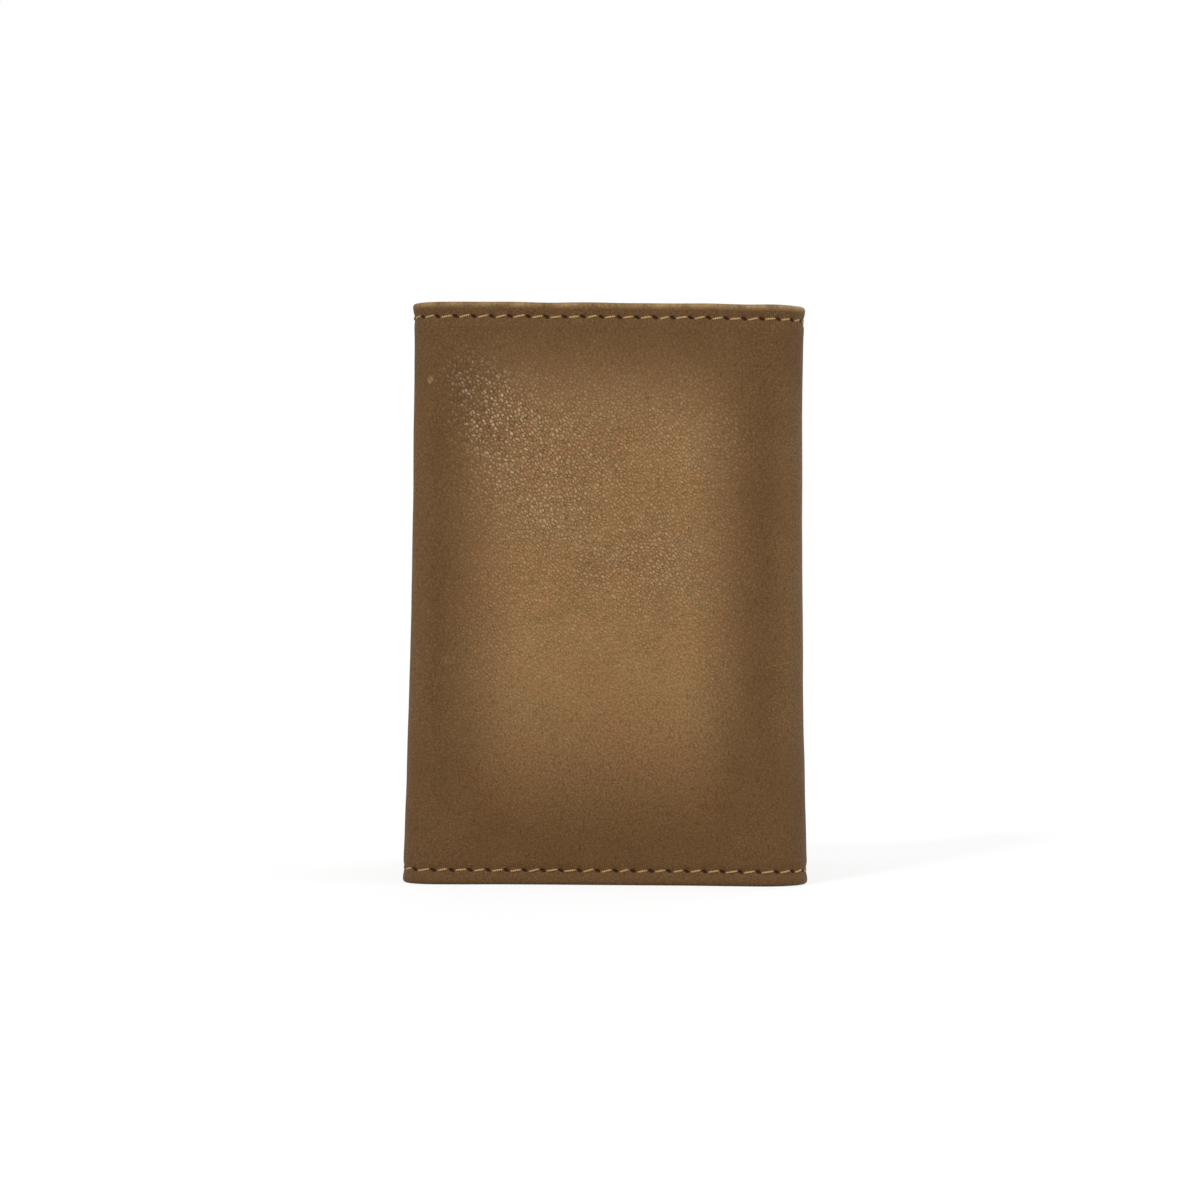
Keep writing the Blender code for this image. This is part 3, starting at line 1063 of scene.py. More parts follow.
@dataclass
class Sheet:
    """A sheet cut flat: its grid lines, its depth and thickness, and how its edges are rounded."""

    columns: list[float]
    rows: list[float]
    depth: float
    thickness: float
    rounding: float
    segments: int = 3
    square_ends: tuple[float, ...] = ()
    corner: float = 0.0
    corner_end: Optional[float] = None

    def cut(self) -> BMesh:
        """Cuts the sheet as a grid, rounds its corners, thickens it and rounds its edges.

        Returns:
            The sheet, whose points are along, up, and the depth with its sign turned.
        """
        shape = bmesh.new()
        wide, tall = len(self.columns) - 1, len(self.rows) - 1
        bmesh.ops.create_grid(shape, x_segments=wide, y_segments=tall, size=0.5)
        for vert in shape.verts:
            column = round((vert.co.x + 0.5) * wide)
            row = round((vert.co.y + 0.5) * tall)
            vert.co = (self.columns[column], self.rows[row], -self.depth)
        if self.corner_end is not None:
            self.round_corners(shape)
        self.thicken(shape)
        return shape

    def round_corners(self, shape: BMesh) -> None:
        """Draws the two corners at the rounded end in to quarter circles.

        Args:
            shape: The flat grid.
        """
        inwards = 1 if self.corner_end < self.columns[-1] - NEAR else -1
        for vert in shape.verts:
            for edge, upwards in ((self.rows[0], 1), (self.rows[-1], -1)):
                first = 1 - inwards * (vert.co.x - self.corner_end) / self.corner
                second = 1 - upwards * (vert.co.y - edge) / self.corner
                if first > 0 and second > 0:
                    drawn = first * math.sqrt(1 - second**2 / 2)
                    raised = second * math.sqrt(1 - first**2 / 2)
                    vert.co.x = self.corner_end + inwards * self.corner * (1 - drawn)
                    vert.co.y = edge + upwards * self.corner * (1 - raised)

    def thicken(self, shape: BMesh) -> None:
        """Gives a flat shape its thickness and rounds its rims, but not those at the square ends.

        Args:
            shape: The flat shape.
        """
        bmesh.ops.solidify(shape, geom=shape.faces[:], thickness=self.thickness)
        bmesh.ops.recalc_face_normals(shape, faces=shape.faces)
        if self.rounding <= 0:
            return
        rims = [edge for edge in shape.edges if self.is_rim(edge)]
        bmesh.ops.bevel(
            shape,
            geom=rims,
            offset=self.rounding,
            offset_type="OFFSET",
            segments=self.segments,
            profile=0.5,
            affect="EDGES",
            material=-1,
            clamp_overlap=False,
        )

    def is_rim(self, edge: bmesh.types.BMEdge) -> bool:
        """Whether an edge runs between a broad face and the wall round the sheet.

        Args:
            edge: An edge of the thickened sheet.

        Returns:
            Whether it is to be rounded.
        """
        if edge.calc_face_angle(0.0) < 1.0:
            return False
        first, second = edge.verts
        if abs(first.co.z - second.co.z) > self.thickness / 2:
            return False
        return not any(max(abs(v.co.x - end) for v in edge.verts) < NEAR / 2 for end in self.square_ends)


@dataclass
class Workshop:
    """Lays cut sheets on the form and dresses them."""

    form: Form
    materials: dict[Finish, Material]
    sharp: float = math.radians(50)

    @classmethod
    def opened(cls) -> "Workshop":
        """A workshop with the measured form, and with every material made once."""
        form = Form.measured()
        return cls(form, {finish: recipe.make(finish.value) for finish, recipe in RECIPES.items()})

    def untouched(self, along: float, up: float, depth: float) -> Touched:
        """Leaves a place as it was cut, with no tone and no seam."""
        return depth, PLAIN, PLAIN

    def lay(
        self, shape: BMesh, name: str, finish: Finish, puff: float = 0.0, touch: Optional[Touch] = None
    ) -> Object:
        """Lays a flat shape on the form.

        Args:
            shape: The flat shape, which is used up.
            name: The piece's name.
            finish: Its finish.
            puff: Share of the crown that it follows.
            touch: What presses and tones each place, if anything does.

        Returns:
            The piece.
        """
        touch = touch or self.untouched
        lay, tone, seam = (shape.verts.layers.float_vector.new(label) for label in ("lay", "tone", "seam"))
        for vert in shape.verts:
            along, up, out = vert.co
            vert[lay] = (along, up, -out)
            depth, vert[tone], vert[seam] = touch(along, up, -out)
            vert.co = self.form.place(along, depth, up, puff)
        return self.piece(shape, name, finish)

    def piece(self, shape: BMesh, name: str, finish: Finish) -> Object:
        """Turns a shape that is in place into a named piece.

        Args:
            shape: The shape, which is used up.
            name: The piece's name.
            finish: Its finish.

        Returns:
            The piece.
        """
        if shape.calc_volume(signed=True) < 0:
            bmesh.ops.reverse_faces(shape, faces=shape.faces)
        mesh = bpy.data.meshes.new(name)
        shape.to_mesh(mesh)
        shape.free()
        mesh.materials.append(self.materials[finish])
        mesh.shade_smooth()
        mesh.set_sharp_from_angle(angle=self.sharp)
        made = bpy.data.objects.new(name, mesh)
        bpy.context.scene.collection.objects.link(made)
        LOG.info("%s: %d faces", name, len(mesh.polygons))
        return made

    def fix(self, piece: Object, body: str, *nodes: str) -> None:
        """Lets a piece ride on a body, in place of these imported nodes.

        Args:
            piece: The piece.
            body: The body's name.
            nodes: The nodes that it stands for, if any.
        """
        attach(piece, body)
        if nodes:
            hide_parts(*nodes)

    def bend(self, piece: Object, side: Side, *nodes: str) -> None:
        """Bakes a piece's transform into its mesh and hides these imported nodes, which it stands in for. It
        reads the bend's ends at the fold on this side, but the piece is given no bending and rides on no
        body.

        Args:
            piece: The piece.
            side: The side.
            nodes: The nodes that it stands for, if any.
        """
        start, end = self.form.folds[side].bend_ends()
        side.wing
        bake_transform(piece)
        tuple(start)
        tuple(end)
        if nodes:
            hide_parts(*nodes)


@dataclass
class Assembly:
    """A group of pieces that are made together."""

    shop: Workshop

    @property
    def form(self) -> Form:
        """The form that the pieces lie on."""
        return self.shop.form


@dataclass
class Cover(Assembly):
    """The outer leather: one hide from wing to wing, hemmed all round and sewn near its edges."""

    shell: float = 1.0 * MM
    hem: float = 1.7 * MM
    hem_reach: float = 8.0 * MM
    hem_skive: float = 1.2 * MM
    rounding: float = 0.72 * MM
    corner: float = 3.0 * MM
    grid: float = 0.43 * MM
    field_grid: float = 0.75 * MM
    edge_grid: float = 0.27 * MM
    edge_zone: float = 5.0 * MM
    first_row: float = 1.3 * MM
    border_strip: float = 0.05 * MM
    hole_depth: float = 0.34 * MM
    furrow: float = 0.2 * MM
    wave: float = 0.14 * MM
    broad_wave: float = 19.0 * MM
    close_wave: float = 6.5 * MM
    close_share: float = 0.35
    pucker: float = 0.1 * MM
    pucker_mean: float = 0.6
    pucker_run: float = 5.0 * MM
    pucker_across: float = 3.0 * MM
    pucker_aside: float = 1.6 * MM
    pucker_width: float = 0.8 * MM
    calm_margin: float = 0.8
    calm_foot: float = 0.82
    calm_low: float = 20.0 * MM
    calm_high: float = 64.0 * MM
    rub: float = 0.68
    rub_full: float = 0.4 * MM
    rub_reach: float = 1.15 * MM
    rub_over: float = 0.35 * MM
    # The margins are painted dark: burnish along the folds and the wing ends, painted shade towards the top
    # and the foot, and painted light on the folds' outer halves.
    left_margin: float = 18.0 * MM
    right_margin: float = 16.0 * MM
    margin_spare: float = 1.0 * MM
    # how much painted light the outer half of each fold gets
    left_worn: float = 0.13
    right_worn: float = 0.22
    worn_reach: float = 9.0 * MM
    wing_margin: float = 18.0 * MM
    top_margin: float = 29.0 * MM
    top_full: float = 4.0 * MM
    foot_margin: float = 52.0 * MM
    foot_below: float = 4.0 * MM
    foot_power: float = 1.45

    def rows(self) -> list[float]:
        """Heights of the grid, close together along the seams.

        Returns:
            The heights in order.
        """
        height = self.form.height
        low = steps(self.first_row, self.edge_zone, self.edge_grid)
        high = [height - up for up in low]
        between = steps(self.edge_zone, height - self.edge_zone, self.field_grid)
        return merged([0.0, height], low, high, between)

    def build(self) -> None:
        """Makes the middle piece and the two side pieces."""
        left, right = self.form.borders()
        strip = [left + self.border_strip, right - self.border_strip]
        front = self.sheet(merged(steps(left, right, self.grid), strip), (left, right))
        self.shop.fix(self.lay(front, "front_leather"), "center", "center_shell")
        for side in Side:
            self.build_side(side)

    def build_side(self, side: Side) -> None:
        """Makes the leather round one fold and over its wing.

        Args:
            side: The side.
        """
        border, end = self.form.border(side), side.value * self.form.end(side)
        inner_end = end - side.value * self.edge_zone
        first = end - side.value * self.first_row
        columns = merged(
            steps(border, inner_end, self.grid),
            steps(inner_end, first, self.edge_grid),
            [border + side.value * self.border_strip, end],
        )
        sheet = self.sheet(columns, (border,))
        sheet.corner, sheet.corner_end = self.corner, end
        piece = self.lay(sheet, f"{side.label}_leather")
        self.shop.bend(piece, side, f"{side.label}_fold_leather", f"{side.label}_shell")

    def sheet(self, columns: list[float], square_ends: tuple[float, ...]) -> Sheet:
        """A sheet as thick as the hem, to be thinned inside the hem."""
        return Sheet(columns, self.rows(), 0.0, self.hem, self.rounding, 4, square_ends)

    def lay(self, sheet: Sheet, name: str) -> Object:
        """Cuts and lays one piece of the leather."""
        return self.shop.lay(sheet.cut(), name, Finish.SHELL, 1.0, self.touch)

    def touch(self, along: float, up: float, depth: float) -> Touched:
        """Presses the seams in, thins the leather inside its hems, and tones it.

        Args:
            along: Distance along the lay.
            up: Height above the lower edge.
            depth: Depth as it was cut.

        Returns:
            The depth as worked, the tone (burnish with painted shade, rubbing with painted highlight, calm),
            and the seam (phase, distance, share).
        """
        inside = depth / self.hem
        edge = min(up, self.form.height - up, self.form.end(Side.of(along)) - abs(along))
        thin = smooth(self.hem_reach, self.hem_reach + self.hem_skive, edge)
        worked = depth - (self.hem - self.shell) * thin * smooth(0.5, 1.0, inside)
        inset = self.form.seam_inset
        levels = (inset, self.form.height - inset)
        phase, across, run = self.form.beside(along, up, self.form.end_seams(), levels)
        pressed = dent(across, run, self.furrow, self.hole_depth) - self.puckering(along, phase, across)
        worked += pressed * (1 - inside) - self.ripple(along, up)
        burnish = self.burnish(along, up)
        foot = fade(self.calm_low, self.calm_high, up)
        calm = max(self.calm_margin * burnish, self.calm_foot * foot)
        return worked, (burnish, self.rubbing(along, up), calm), (phase, across, 1 - inside)

    def puckering(self, along: float, phase: float, across: float) -> float:
        """How far the leather puckers up beside a stitch.

        Args:
            along: Distance along the lay.
            phase: The count of stitches along the seam.
            across: Distance across the seam.

        Returns:
            The distance outwards.
        """
        place = Vector((along / self.pucker_run, across / self.pucker_across, 0.7))
        chance = self.pucker_mean + noise.noise(place)
        beside = math.exp(-(((abs(across) - self.pucker_aside) / self.pucker_width) ** 2))
        return self.pucker * max(chance, 0.0) * beside * (0.5 - 0.5 * math.cos(2 * math.pi * phase))

    def ripple(self, along: float, up: float) -> float:
        """The gentle unevenness of worn leather.

        Args:
            along: Distance along the lay.
            up: Height above the lower edge.

        Returns:
            The distance outwards.
        """
        broad = noise.noise(Vector((along, up, 0.0)) / self.broad_wave)
        close = noise.noise(Vector((along, up, 0.03)) / self.close_wave)
        return self.wave * (broad + self.close_share * close)

    def rubbing(self, along: float, up: float) -> float:
        """How much the turned edges are painted pale, as wear and as painted highlight on the rounded rims:
        most along the top and the free ends.

        Args:
            along: Distance along the lay.
            up: Height above the lower edge.

        Returns:
            A share from 0, plain, to 1, pale.
        """
        edge = min(self.form.height - up, self.form.end(Side.of(along)) - abs(along))
        near = fade(self.rub_full, self.rub_reach, edge)
        return self.rub * near * smooth(-self.rub_over, self.rub_full, edge)

    def burnish(self, along: float, up: float) -> float:
        """How dark the margins are painted: along the folds, the top, the foot and the wings' free ends.
        Along the folds and the ends this is burnish, with painted shade where the margins curve away;
        towards the top and the foot it is painted shade; the folds' outer halves get painted light.

        Args:
            along: Distance along the lay.
            up: Height above the lower edge.

        Returns:
            A share from 0, plain, to 1, dark.
        """
        form = self.form
        fold = form.folds[Side.of(along)]
        beyond = abs(along) - form.half
        run = beyond - fold.arc
        margin, lightening = self.right_margin, self.right_worn
        if fold.side is Side.LEFT:
            margin, lightening = self.left_margin, self.left_worn
        spare = self.margin_spare
        if beyond < fold.arc / 2:
            sides = smooth(-margin, spare, beyond)
        else:
            short = smooth(-spare, self.wing_margin - spare, fold.reach - run)
            sides = 1 - smooth(0.0, self.wing_margin, run) * short
        # painted light: the outer half of each fold and the start of its wing are left less dark, more on
        # the right
        sides -= lightening * smooth(0.0, fold.arc / 2, beyond) * fade(0.0, self.worn_reach, run)
        # painted shade towards the top and towards the foot
        top = smooth(form.height - self.top_margin, form.height - self.top_full, up)
        foot = fade(-self.foot_below, self.foot_margin, up) ** self.foot_power
        return 1 - (1 - sides) * (1 - top) * (1 - foot)


@dataclass(frozen=True)
class Stitch:
    """One stitch: its middle on the lay, the way it runs, and the face that it lies on."""

    along: float
    up: float
    turn: float
    depth: float
    facing: int = 1


@dataclass
class Stitching(Assembly):
    """Rows of slanted stitches in gold thread."""

    length: float = 2.5 * MM
    radius: float = 0.18 * MM
    fullness: float = 1.2
    flatness: float = 0.7
    lift: float = -0.1 * MM
    dip: float = 0.42 * MM
    dip_power: int = 3
    slant: float = math.radians(11)
    unevenness: float = math.radians(9)
    slack: float = 0.16
    wander: float = 0.13 * MM
    around: int = 8
    rings: int = 7
    shuffle: float = 431.0
    draws: Triple = (0.4, 17.7, 41.2)

    def sew(self, name: str, stitches: Sequence[Stitch], puff: float) -> Object:
        """Makes one row of stitches.

        Args:
            name: The piece's name.
            stitches: Where the stitches lie.
            puff: Share of the crown that their layer follows.

        Returns:
            The piece.
        """
        shape = bmesh.new()
        ply = shape.verts.layers.float_vector.new("ply")
        for stitch in stitches:
            made = bmesh.ops.create_uvsphere(
                shape, u_segments=self.around, v_segments=self.rings, radius=1.0
            )
            place = Vector((stitch.along, stitch.up, stitch.depth)) * self.shuffle
            chance, stray, pull = (noise.noise(place + Vector((0.0, 0.0, lift))) for lift in self.draws)
            turn = stitch.turn + (self.slant + self.unevenness * chance) * stitch.facing
            length = self.length * (1 + self.slack * pull)
            for vert in made["verts"]:
                share = vert.co.z
                ring = max(math.hypot(vert.co.x, vert.co.y), TINY)
                thick = self.radius * min(1.0, self.fullness * ring) / ring
                run = share * length / 2
                side = vert.co.x * thick + self.wander * stray
                dip = self.dip * abs(share) ** self.dip_power
                above = vert.co.y * thick * self.flatness + self.lift - dip
                vert[ply] = (run, math.atan2(vert.co.y, vert.co.x), 0.0)
                along = stitch.along + run * math.cos(turn) - side * math.sin(turn)
                up = stitch.up + run * math.sin(turn) + side * math.cos(turn)
                vert.co = self.form.place(along, stitch.depth - stitch.facing * above, up, puff)
        bmesh.ops.recalc_face_normals(shape, faces=shape.faces)
        return self.shop.piece(shape, name, Finish.THREAD)

    def build(self) -> None:
        """Sews the outer seams: top and bottom from end to end, and up each free end."""
        heights = {"top": self.form.height - self.form.seam_inset, "bottom": self.form.seam_inset}
        for label, up in heights.items():
            front = []
            for side in Side:
                border = abs(self.form.border(side))
                row = [Stitch(along, up, 0.0, 0.0) for along in self.form.level_places(side)]
                front += [stitch for stitch in row if abs(stitch.along) < border]
                beyond = [stitch for stitch in row if abs(stitch.along) >= border]
                piece = self.sew(f"{side.label}_{label}_stitches", beyond, 1.0)
                nodes = (f"{side.label}_{label}_thread", f"{side.label}_fold_{label}_thread")
                self.shop.bend(piece, side, *nodes)
            piece = self.sew(f"front_{label}_stitches", front, 1.0)
            self.shop.fix(piece, "center", f"center_{label}_thread")
        for side in Side:
            along, top = self.form.end_seam(side), heights["top"]
            row = [Stitch(along, up, QUARTER, 0.0) for up in self.form.upright_places(top)]
            piece = self.sew(f"{side.label}_end_stitches", row, 1.0)
            self.shop.fix(piece, side.wing, f"{side.label}_end_thread")


class Layer(Enum):
    """The two layers behind the outer leather, by the names of their nodes."""

    LINING = "lining"
    DIVIDER = "divider"


@dataclass
class Linings(Assembly):
    """The twill behind the leather, and the thin leather divider of the bill compartment."""

    cloth: float = 0.25 * MM
    divider: float = 0.4 * MM
    rounding: float = 0.15 * MM
    top_row: float = 0.5 * MM
    grid: float = 1.0 * MM
    foot_dark: float = 0.5
    foot_margin: float = 12.0 * MM
    top_dark: float = 0.3
    top_full: float = 1.0 * MM
    top_margin: float = 10.0 * MM
    rub: float = 0.6
    rub_full: float = 0.1 * MM
    rub_reach: float = 0.7 * MM
    calm: float = 0.45
    divider_top: float = field(init=False)

    def __post_init__(self) -> None:
        """Reads the divider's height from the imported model."""
        self.divider_top = Laid.of(self.form, "left_divider").high

    def build(self) -> None:
        """Makes the middle piece and the two side pieces of each layer."""
        left, right = self.form.borders()
        for layer in Layer:
            kind = layer.value
            across = steps(left, right, self.grid)
            piece, size = self.sheet(layer, f"front_{kind}", f"left_{kind}", across, (left, right))
            self.shop.fix(piece, "center", f"center_{kind}")
            self.declare(layer, piece, size, "front_leather")
            for side in Side:
                node, border = f"{side.label}_{kind}", self.form.border(side)
                room = Laid.of(self.form, node)
                end = room.start if side is Side.LEFT else room.stop
                across = sorted(steps(border, end, self.grid))
                piece, size = self.sheet(layer, f"{node}_sheet", node, across, (border,))
                self.shop.bend(piece, side, node, f"{side.label}_fold_{kind}")
                self.declare(layer, piece, size, f"{side.label}_leather")

    def sheet(
        self, layer: Layer, name: str, node: str, columns: list[float], square: tuple[float, ...]
    ) -> tuple[Object, tuple[float, float]]:
        """Cuts and lays one sheet.

        Args:
            layer: The layer that it is part of.
            name: The piece's name.
            node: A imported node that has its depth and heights.
            columns: Its stations along the lay.
            square: The ends that meet another piece.

        Returns:
            The piece and the size that it was cut to.
        """
        room = Laid.of(self.form, node)
        rows = steps(room.low, room.high, self.grid)
        size = (columns[-1] - columns[0], rows[-1] - rows[0])
        if layer is Layer.LINING:
            cut = Sheet(columns, rows, room.depth, self.cloth, 0.0).cut()
            return self.shop.lay(cut, name, Finish.CLOTH, 1.0), size
        rows = merged(rows, [room.high - self.top_row])
        cut = Sheet(columns, rows, room.depth, self.divider, self.rounding, 2, square).cut()
        return self.shop.lay(cut, name, Finish.DIVIDER, 0.0, self.touch), size

    def touch(self, along: float, up: float, depth: float) -> Touched:
        """Draws the divider to the leather at the sewn edges, and tones it.

        Args:
            along: Distance along the lay.
            up: Height above the lower edge.
            depth: Depth as it was cut.

        Returns:
            The depth as worked, the tone (burnish, rubbing, calm), and the seam (phase, distance, share).
        """
        form = self.form
        phase, across, _ = form.beside(along, up, form.end_seams(), (form.seam_inset,))
        below = self.divider_top - up
        burnish = self.foot_dark * fade(0.0, self.foot_margin, up)
        burnish += self.top_dark * fade(self.top_full, self.top_margin, below)
        rubbed = self.rub * fade(self.rub_full, self.rub_reach, below)
        return depth - form.draw(along, up), (burnish, rubbed, self.calm), (phase, -across, 1.0)

    def declare(self, layer: Layer, piece: Object, size: tuple[float, float], under: str) -> None:
        """Takes a lining and does nothing with it."""


@dataclass
class Pile:
    """The layers on one panel, from the hindmost forward, and how they lie.

    Over the pockets the layers lie a little apart. Near the sewn edges each rests on the one behind it.
    """

    form: Form
    layers: list[list[Laid]]
    divider_face: float
    gap: float = 0.02 * MM
    soft: float = 1.2 * MM

    @classmethod
    def of(cls, form: Form, nodes: Sequence[Sequence[str]]) -> "Pile":
        """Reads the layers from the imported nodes, each layer from those that lie in it.

        Args:
            form: The wallet's form.
            nodes: The nodes of each layer, from the hindmost forward.

        Returns:
            The pile.
        """
        divider = Laid.of(form, "left_divider")
        layers = [[Laid.of(form, node) for node in layer] for layer in nodes]
        return cls(form, layers, divider.depth + divider.thickness)

    @property
    def rooms(self) -> list[Laid]:
        """The rooms of all the nodes."""
        return [room for layer in self.layers for room in layer]

    @property
    def start(self) -> float:
        """The end of the pile that is furthest to the left."""
        return min(room.start for room in self.rooms)

    @property
    def stop(self) -> float:
        """The end of the pile that is furthest to the right."""
        return max(room.stop for room in self.rooms)

    @property
    def low(self) -> float:
        """The lower edge of the pile."""
        return min(room.low for room in self.rooms)

    @property
    def high(self) -> float:
        """The upper edge of the pile."""
        return max(room.high for room in self.rooms)

    def base(self, along: float, up: float) -> float:
        """Depth of the inner face of the divider."""
        return self.divider_face - self.form.draw(along, up)

    def behind(self, number: int, up: float) -> float:
        """How thick the layers behind this one are at this height, pressed together.

        Args:
            number: How many layers of the pile are behind it.
            up: Height above the lower edge.

        Returns:
            The thickness, with the gaps.
        """
        total = self.gap
        for layer in self.layers[:number]:
            total += self.gap
            for room in layer:
                risen = smooth(room.low - self.soft, room.low + self.soft, up)
                total += min(room.thickness, POCKET_LEATHER) * risen * self.under_top(room, up)
        return total

    def under_top(self, room: Laid, up: float) -> float:
        """1 below a layer's upper edge, 0 above it."""
        return fade(room.high - self.soft, room.high + self.soft, up)

    def shift(self, room: Laid, number: int, along: float, up: float) -> float:
        """How far a place of a layer moves in depth because the pile is sewn down at its edges.

        Args:
            room: The layer's own room.
            number: How many layers of the pile are behind it.
            along: Distance along the lay.
            up: Height above the lower edge.

        Returns:
            The change in depth, which is negative towards the leather.
        """
        edge = min(up - self.low, along - self.start, self.stop - along)
        pressed = self.base(along, up) + self.behind(number, up)
        return (pressed - room.depth) * self.form.held(edge)

    def sewn_down(self, room: Laid, number: int) -> Touch:
        """What sews the edges of a plain layer down, with this many layers behind it.

        Args:
            room: The layer's own room.
            number: How many layers of the pile are behind it.

        Returns:
            The touch that moves each place of the layer.
        """

        def touch(along: float, up: float, depth: float) -> Touched:
            """Moves a place with the pile."""
            return depth + self.shift(room, number, along, up), PLAIN, PLAIN

        return touch

    def top(self, along: float, up: float) -> float:
        """Depth of the innermost face at a sewn place, on the pile or on the divider beside it.

        Args:
            along: Distance along the lay.
            up: Height above the lower edge.

        Returns:
            The depth.
        """
        if not self.start < along < self.stop:
            return self.base(along, up)
        total = self.base(along, up) + self.behind(len(self.layers), up)
        for room in self.rooms:
            lip = max(room.thickness - POCKET_LEATHER, 0.0)
            band = smooth(room.high - LIP_REACH - self.soft, room.high - LIP_REACH, up)
            total += lip * band * self.under_top(room, up)
        return total


@dataclass
class CardPockets(Assembly):
    """Three stepped card pockets on each wing."""

    count: int = 3
    lip_blend: float = 0.9 * MM
    crease_drop: float = 1.7 * MM
    crease_width: float = 0.28 * MM
    crease_depth: float = 0.13 * MM
    rounding: float = 0.22 * MM
    bow: float = 0.13 * MM
    bow_reach: float = 34.0 * MM
    grid: float = 1.1 * MM
    band_grid: float = 0.3 * MM
    mouth_grid: float = 0.2 * MM
    mouth_zone: float = 2.6 * MM
    top_row: float = 0.5 * MM
    edge_grid: float = 0.45 * MM
    edge_zone: float = 5.0 * MM
    seam_inset: float = 1.6 * MM
    furrow: float = 0.12 * MM
    hole_depth: float = 0.12 * MM
    edge_dark: float = 0.7
    edge_margin: float = 9.0 * MM
    mouth_dark: float = 0.25
    mouth_full: float = 2.0 * MM
    mouth_margin: float = 14.0 * MM
    rub: float = 0.7
    rub_full: float = 0.15 * MM
    rub_reach: float = 0.75 * MM
    calm: float = 0.35

    def nodes(self, side: Side) -> list[list[str]]:
        """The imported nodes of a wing's pockets, layer by layer from the hindmost.

        Args:
            side: The side of the wing.

        Returns:
            Each layer's nodes, the leather first.
        """
        stem = f"{side.label}_card_pocket"
        behind = [[f"{stem}_{n}_facing", f"{stem}_{n}_bag"] for n in range(1, self.count)]
        return behind + [[f"{stem}_{self.count}"]]

    def pile(self, side: Side) -> Pile:
        """The pockets of a wing as a pile."""
        return Pile.of(self.form, self.nodes(side))

    def uprights(self, side: Side, pile: Pile) -> list[float]:
        """Where the upright seams of a wing's pockets stand: by the free end, and by the fold."""
        by_fold = pile.stop - self.seam_inset if side is Side.LEFT else pile.start + self.seam_inset
        return [self.form.end_seam(side), by_fold]

    def build(self) -> None:
        """Makes the pockets of both wings."""
        for side in Side:
            pile = self.pile(side)
            uprights = self.uprights(side, pile)
            for number, layer in enumerate(self.nodes(side)):
                self.leather_piece(layer[0], side.wing, number, pile, uprights)
                for bag in layer[1:]:
                    self.bag(bag, side, number, pile)

    def stations(self, start: float, stop: float) -> list[float]:
        """Grid stations, closer together along the two sewn ends.

        Args:
            start: One end along the lay.
            stop: The other end.

        Returns:
            The stations in order.
        """
        first, last = start + self.edge_zone, stop - self.edge_zone
        return merged(
            steps(start, first, self.edge_grid),
            steps(first, last, self.grid),
            steps(last, stop, self.edge_grid),
        )

    def seam(self, along: float, up: float, uprights: Sequence[float]) -> Triple:
        """The count of stitches along the nearest seam, the distance across it, and its dent's depth."""
        phase, aside, run = self.form.beside(along, up, uprights, (self.form.seam_inset,))
        return phase, aside, dent(aside, run, self.furrow, self.hole_depth)

    def leather_piece(self, node: str, body: str, number: int, pile: Pile, uprights: list[float]) -> None:
        """Makes a pocket's leather, with its turned and creased upper edge.

        Args:
            node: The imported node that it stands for.
            body: The body that it rides on.
            number: How many layers of the pile are behind it.
            pile: The pile that it is sewn in.
            uprights: Where the upright seams stand along the lay.
        """
        room = Laid.of(self.form, node)
        mouth_from = room.high - self.mouth_zone
        band_from = room.high - LIP_REACH - self.lip_blend
        rows = merged(
            steps(room.low, room.low + self.edge_zone, self.edge_grid),
            steps(room.low + self.edge_zone, band_from, self.grid),
            steps(band_from, mouth_from, self.band_grid),
            steps(mouth_from, room.high - self.top_row, self.mouth_grid),
            [room.high],
        )
        columns = self.stations(room.start, room.stop)
        sheet = Sheet(columns, rows, room.depth, room.thickness, self.rounding, 3)

        def touch(along: float, up: float, depth: float) -> Touched:
            """Sews the edges down, bows the mouth, raises the turned band and presses the crease line.

            Args:
                along: Distance along the lay.
                up: Height above the lower edge.
                depth: Depth as it was cut.

            Returns:
                The depth as worked, the tone (burnish, rubbing, calm) and the seam (phase, distance, share).
            """
            inside = room.inwards(depth)
            below = room.high - up
            band = smooth(LIP_REACH - self.lip_blend, LIP_REACH + self.lip_blend, below)
            lip = max(room.thickness - POCKET_LEATHER, 0.0)
            crease = self.crease_depth * math.exp(-(((below - self.crease_drop) / self.crease_width) ** 2))
            across = (along - room.middle) / (room.stop - room.start) * 2
            bow = self.bow * (number + 1) * (1 - across**2) ** 2 * fade(0.0, self.bow_reach, below)
            phase, aside, pressed = self.seam(along, up, uprights)
            worked = depth - inside * (lip * band + crease + pressed) + bow
            worked += pile.shift(room, number, along, up)
            edge = min(up - pile.low, along - room.start, room.stop - along)
            burnish = self.edge_dark * fade(0.0, self.edge_margin, edge)
            burnish += self.mouth_dark * fade(self.mouth_full, self.mouth_margin, below)
            rubbed = self.rub * fade(self.rub_full, self.rub_reach, below)
            return worked, (burnish, rubbed, self.calm), (phase, -aside, inside)

        piece = self.shop.lay(sheet.cut(), f"{node}_leather", Finish.POCKET, 0.0, touch)
        self.shop.fix(piece, body, node)

    def bag(self, node: str, side: Side, number: int, pile: Pile) -> None:
        """Makes the cloth that a facing ends in.

        Args:
            node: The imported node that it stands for.
            side: The side of the wing.
            number: How many layers of the pile are behind it.
            pile: The pile that it is sewn in.
        """
        room = Laid.of(self.form, node)
        columns = self.stations(room.start, room.stop)
        rows = steps(room.low, room.high, self.grid)
        cut = Sheet(columns, rows, room.depth, room.thickness, 0.0).cut()
        sewn = pile.sewn_down(room, number)
        piece = self.shop.lay(cut, f"{node}_cloth", Finish.CLOTH, 0.0, sewn)
        self.shop.fix(piece, side.wing, node)
        flat = (room.stop - room.start, room.high - room.low)


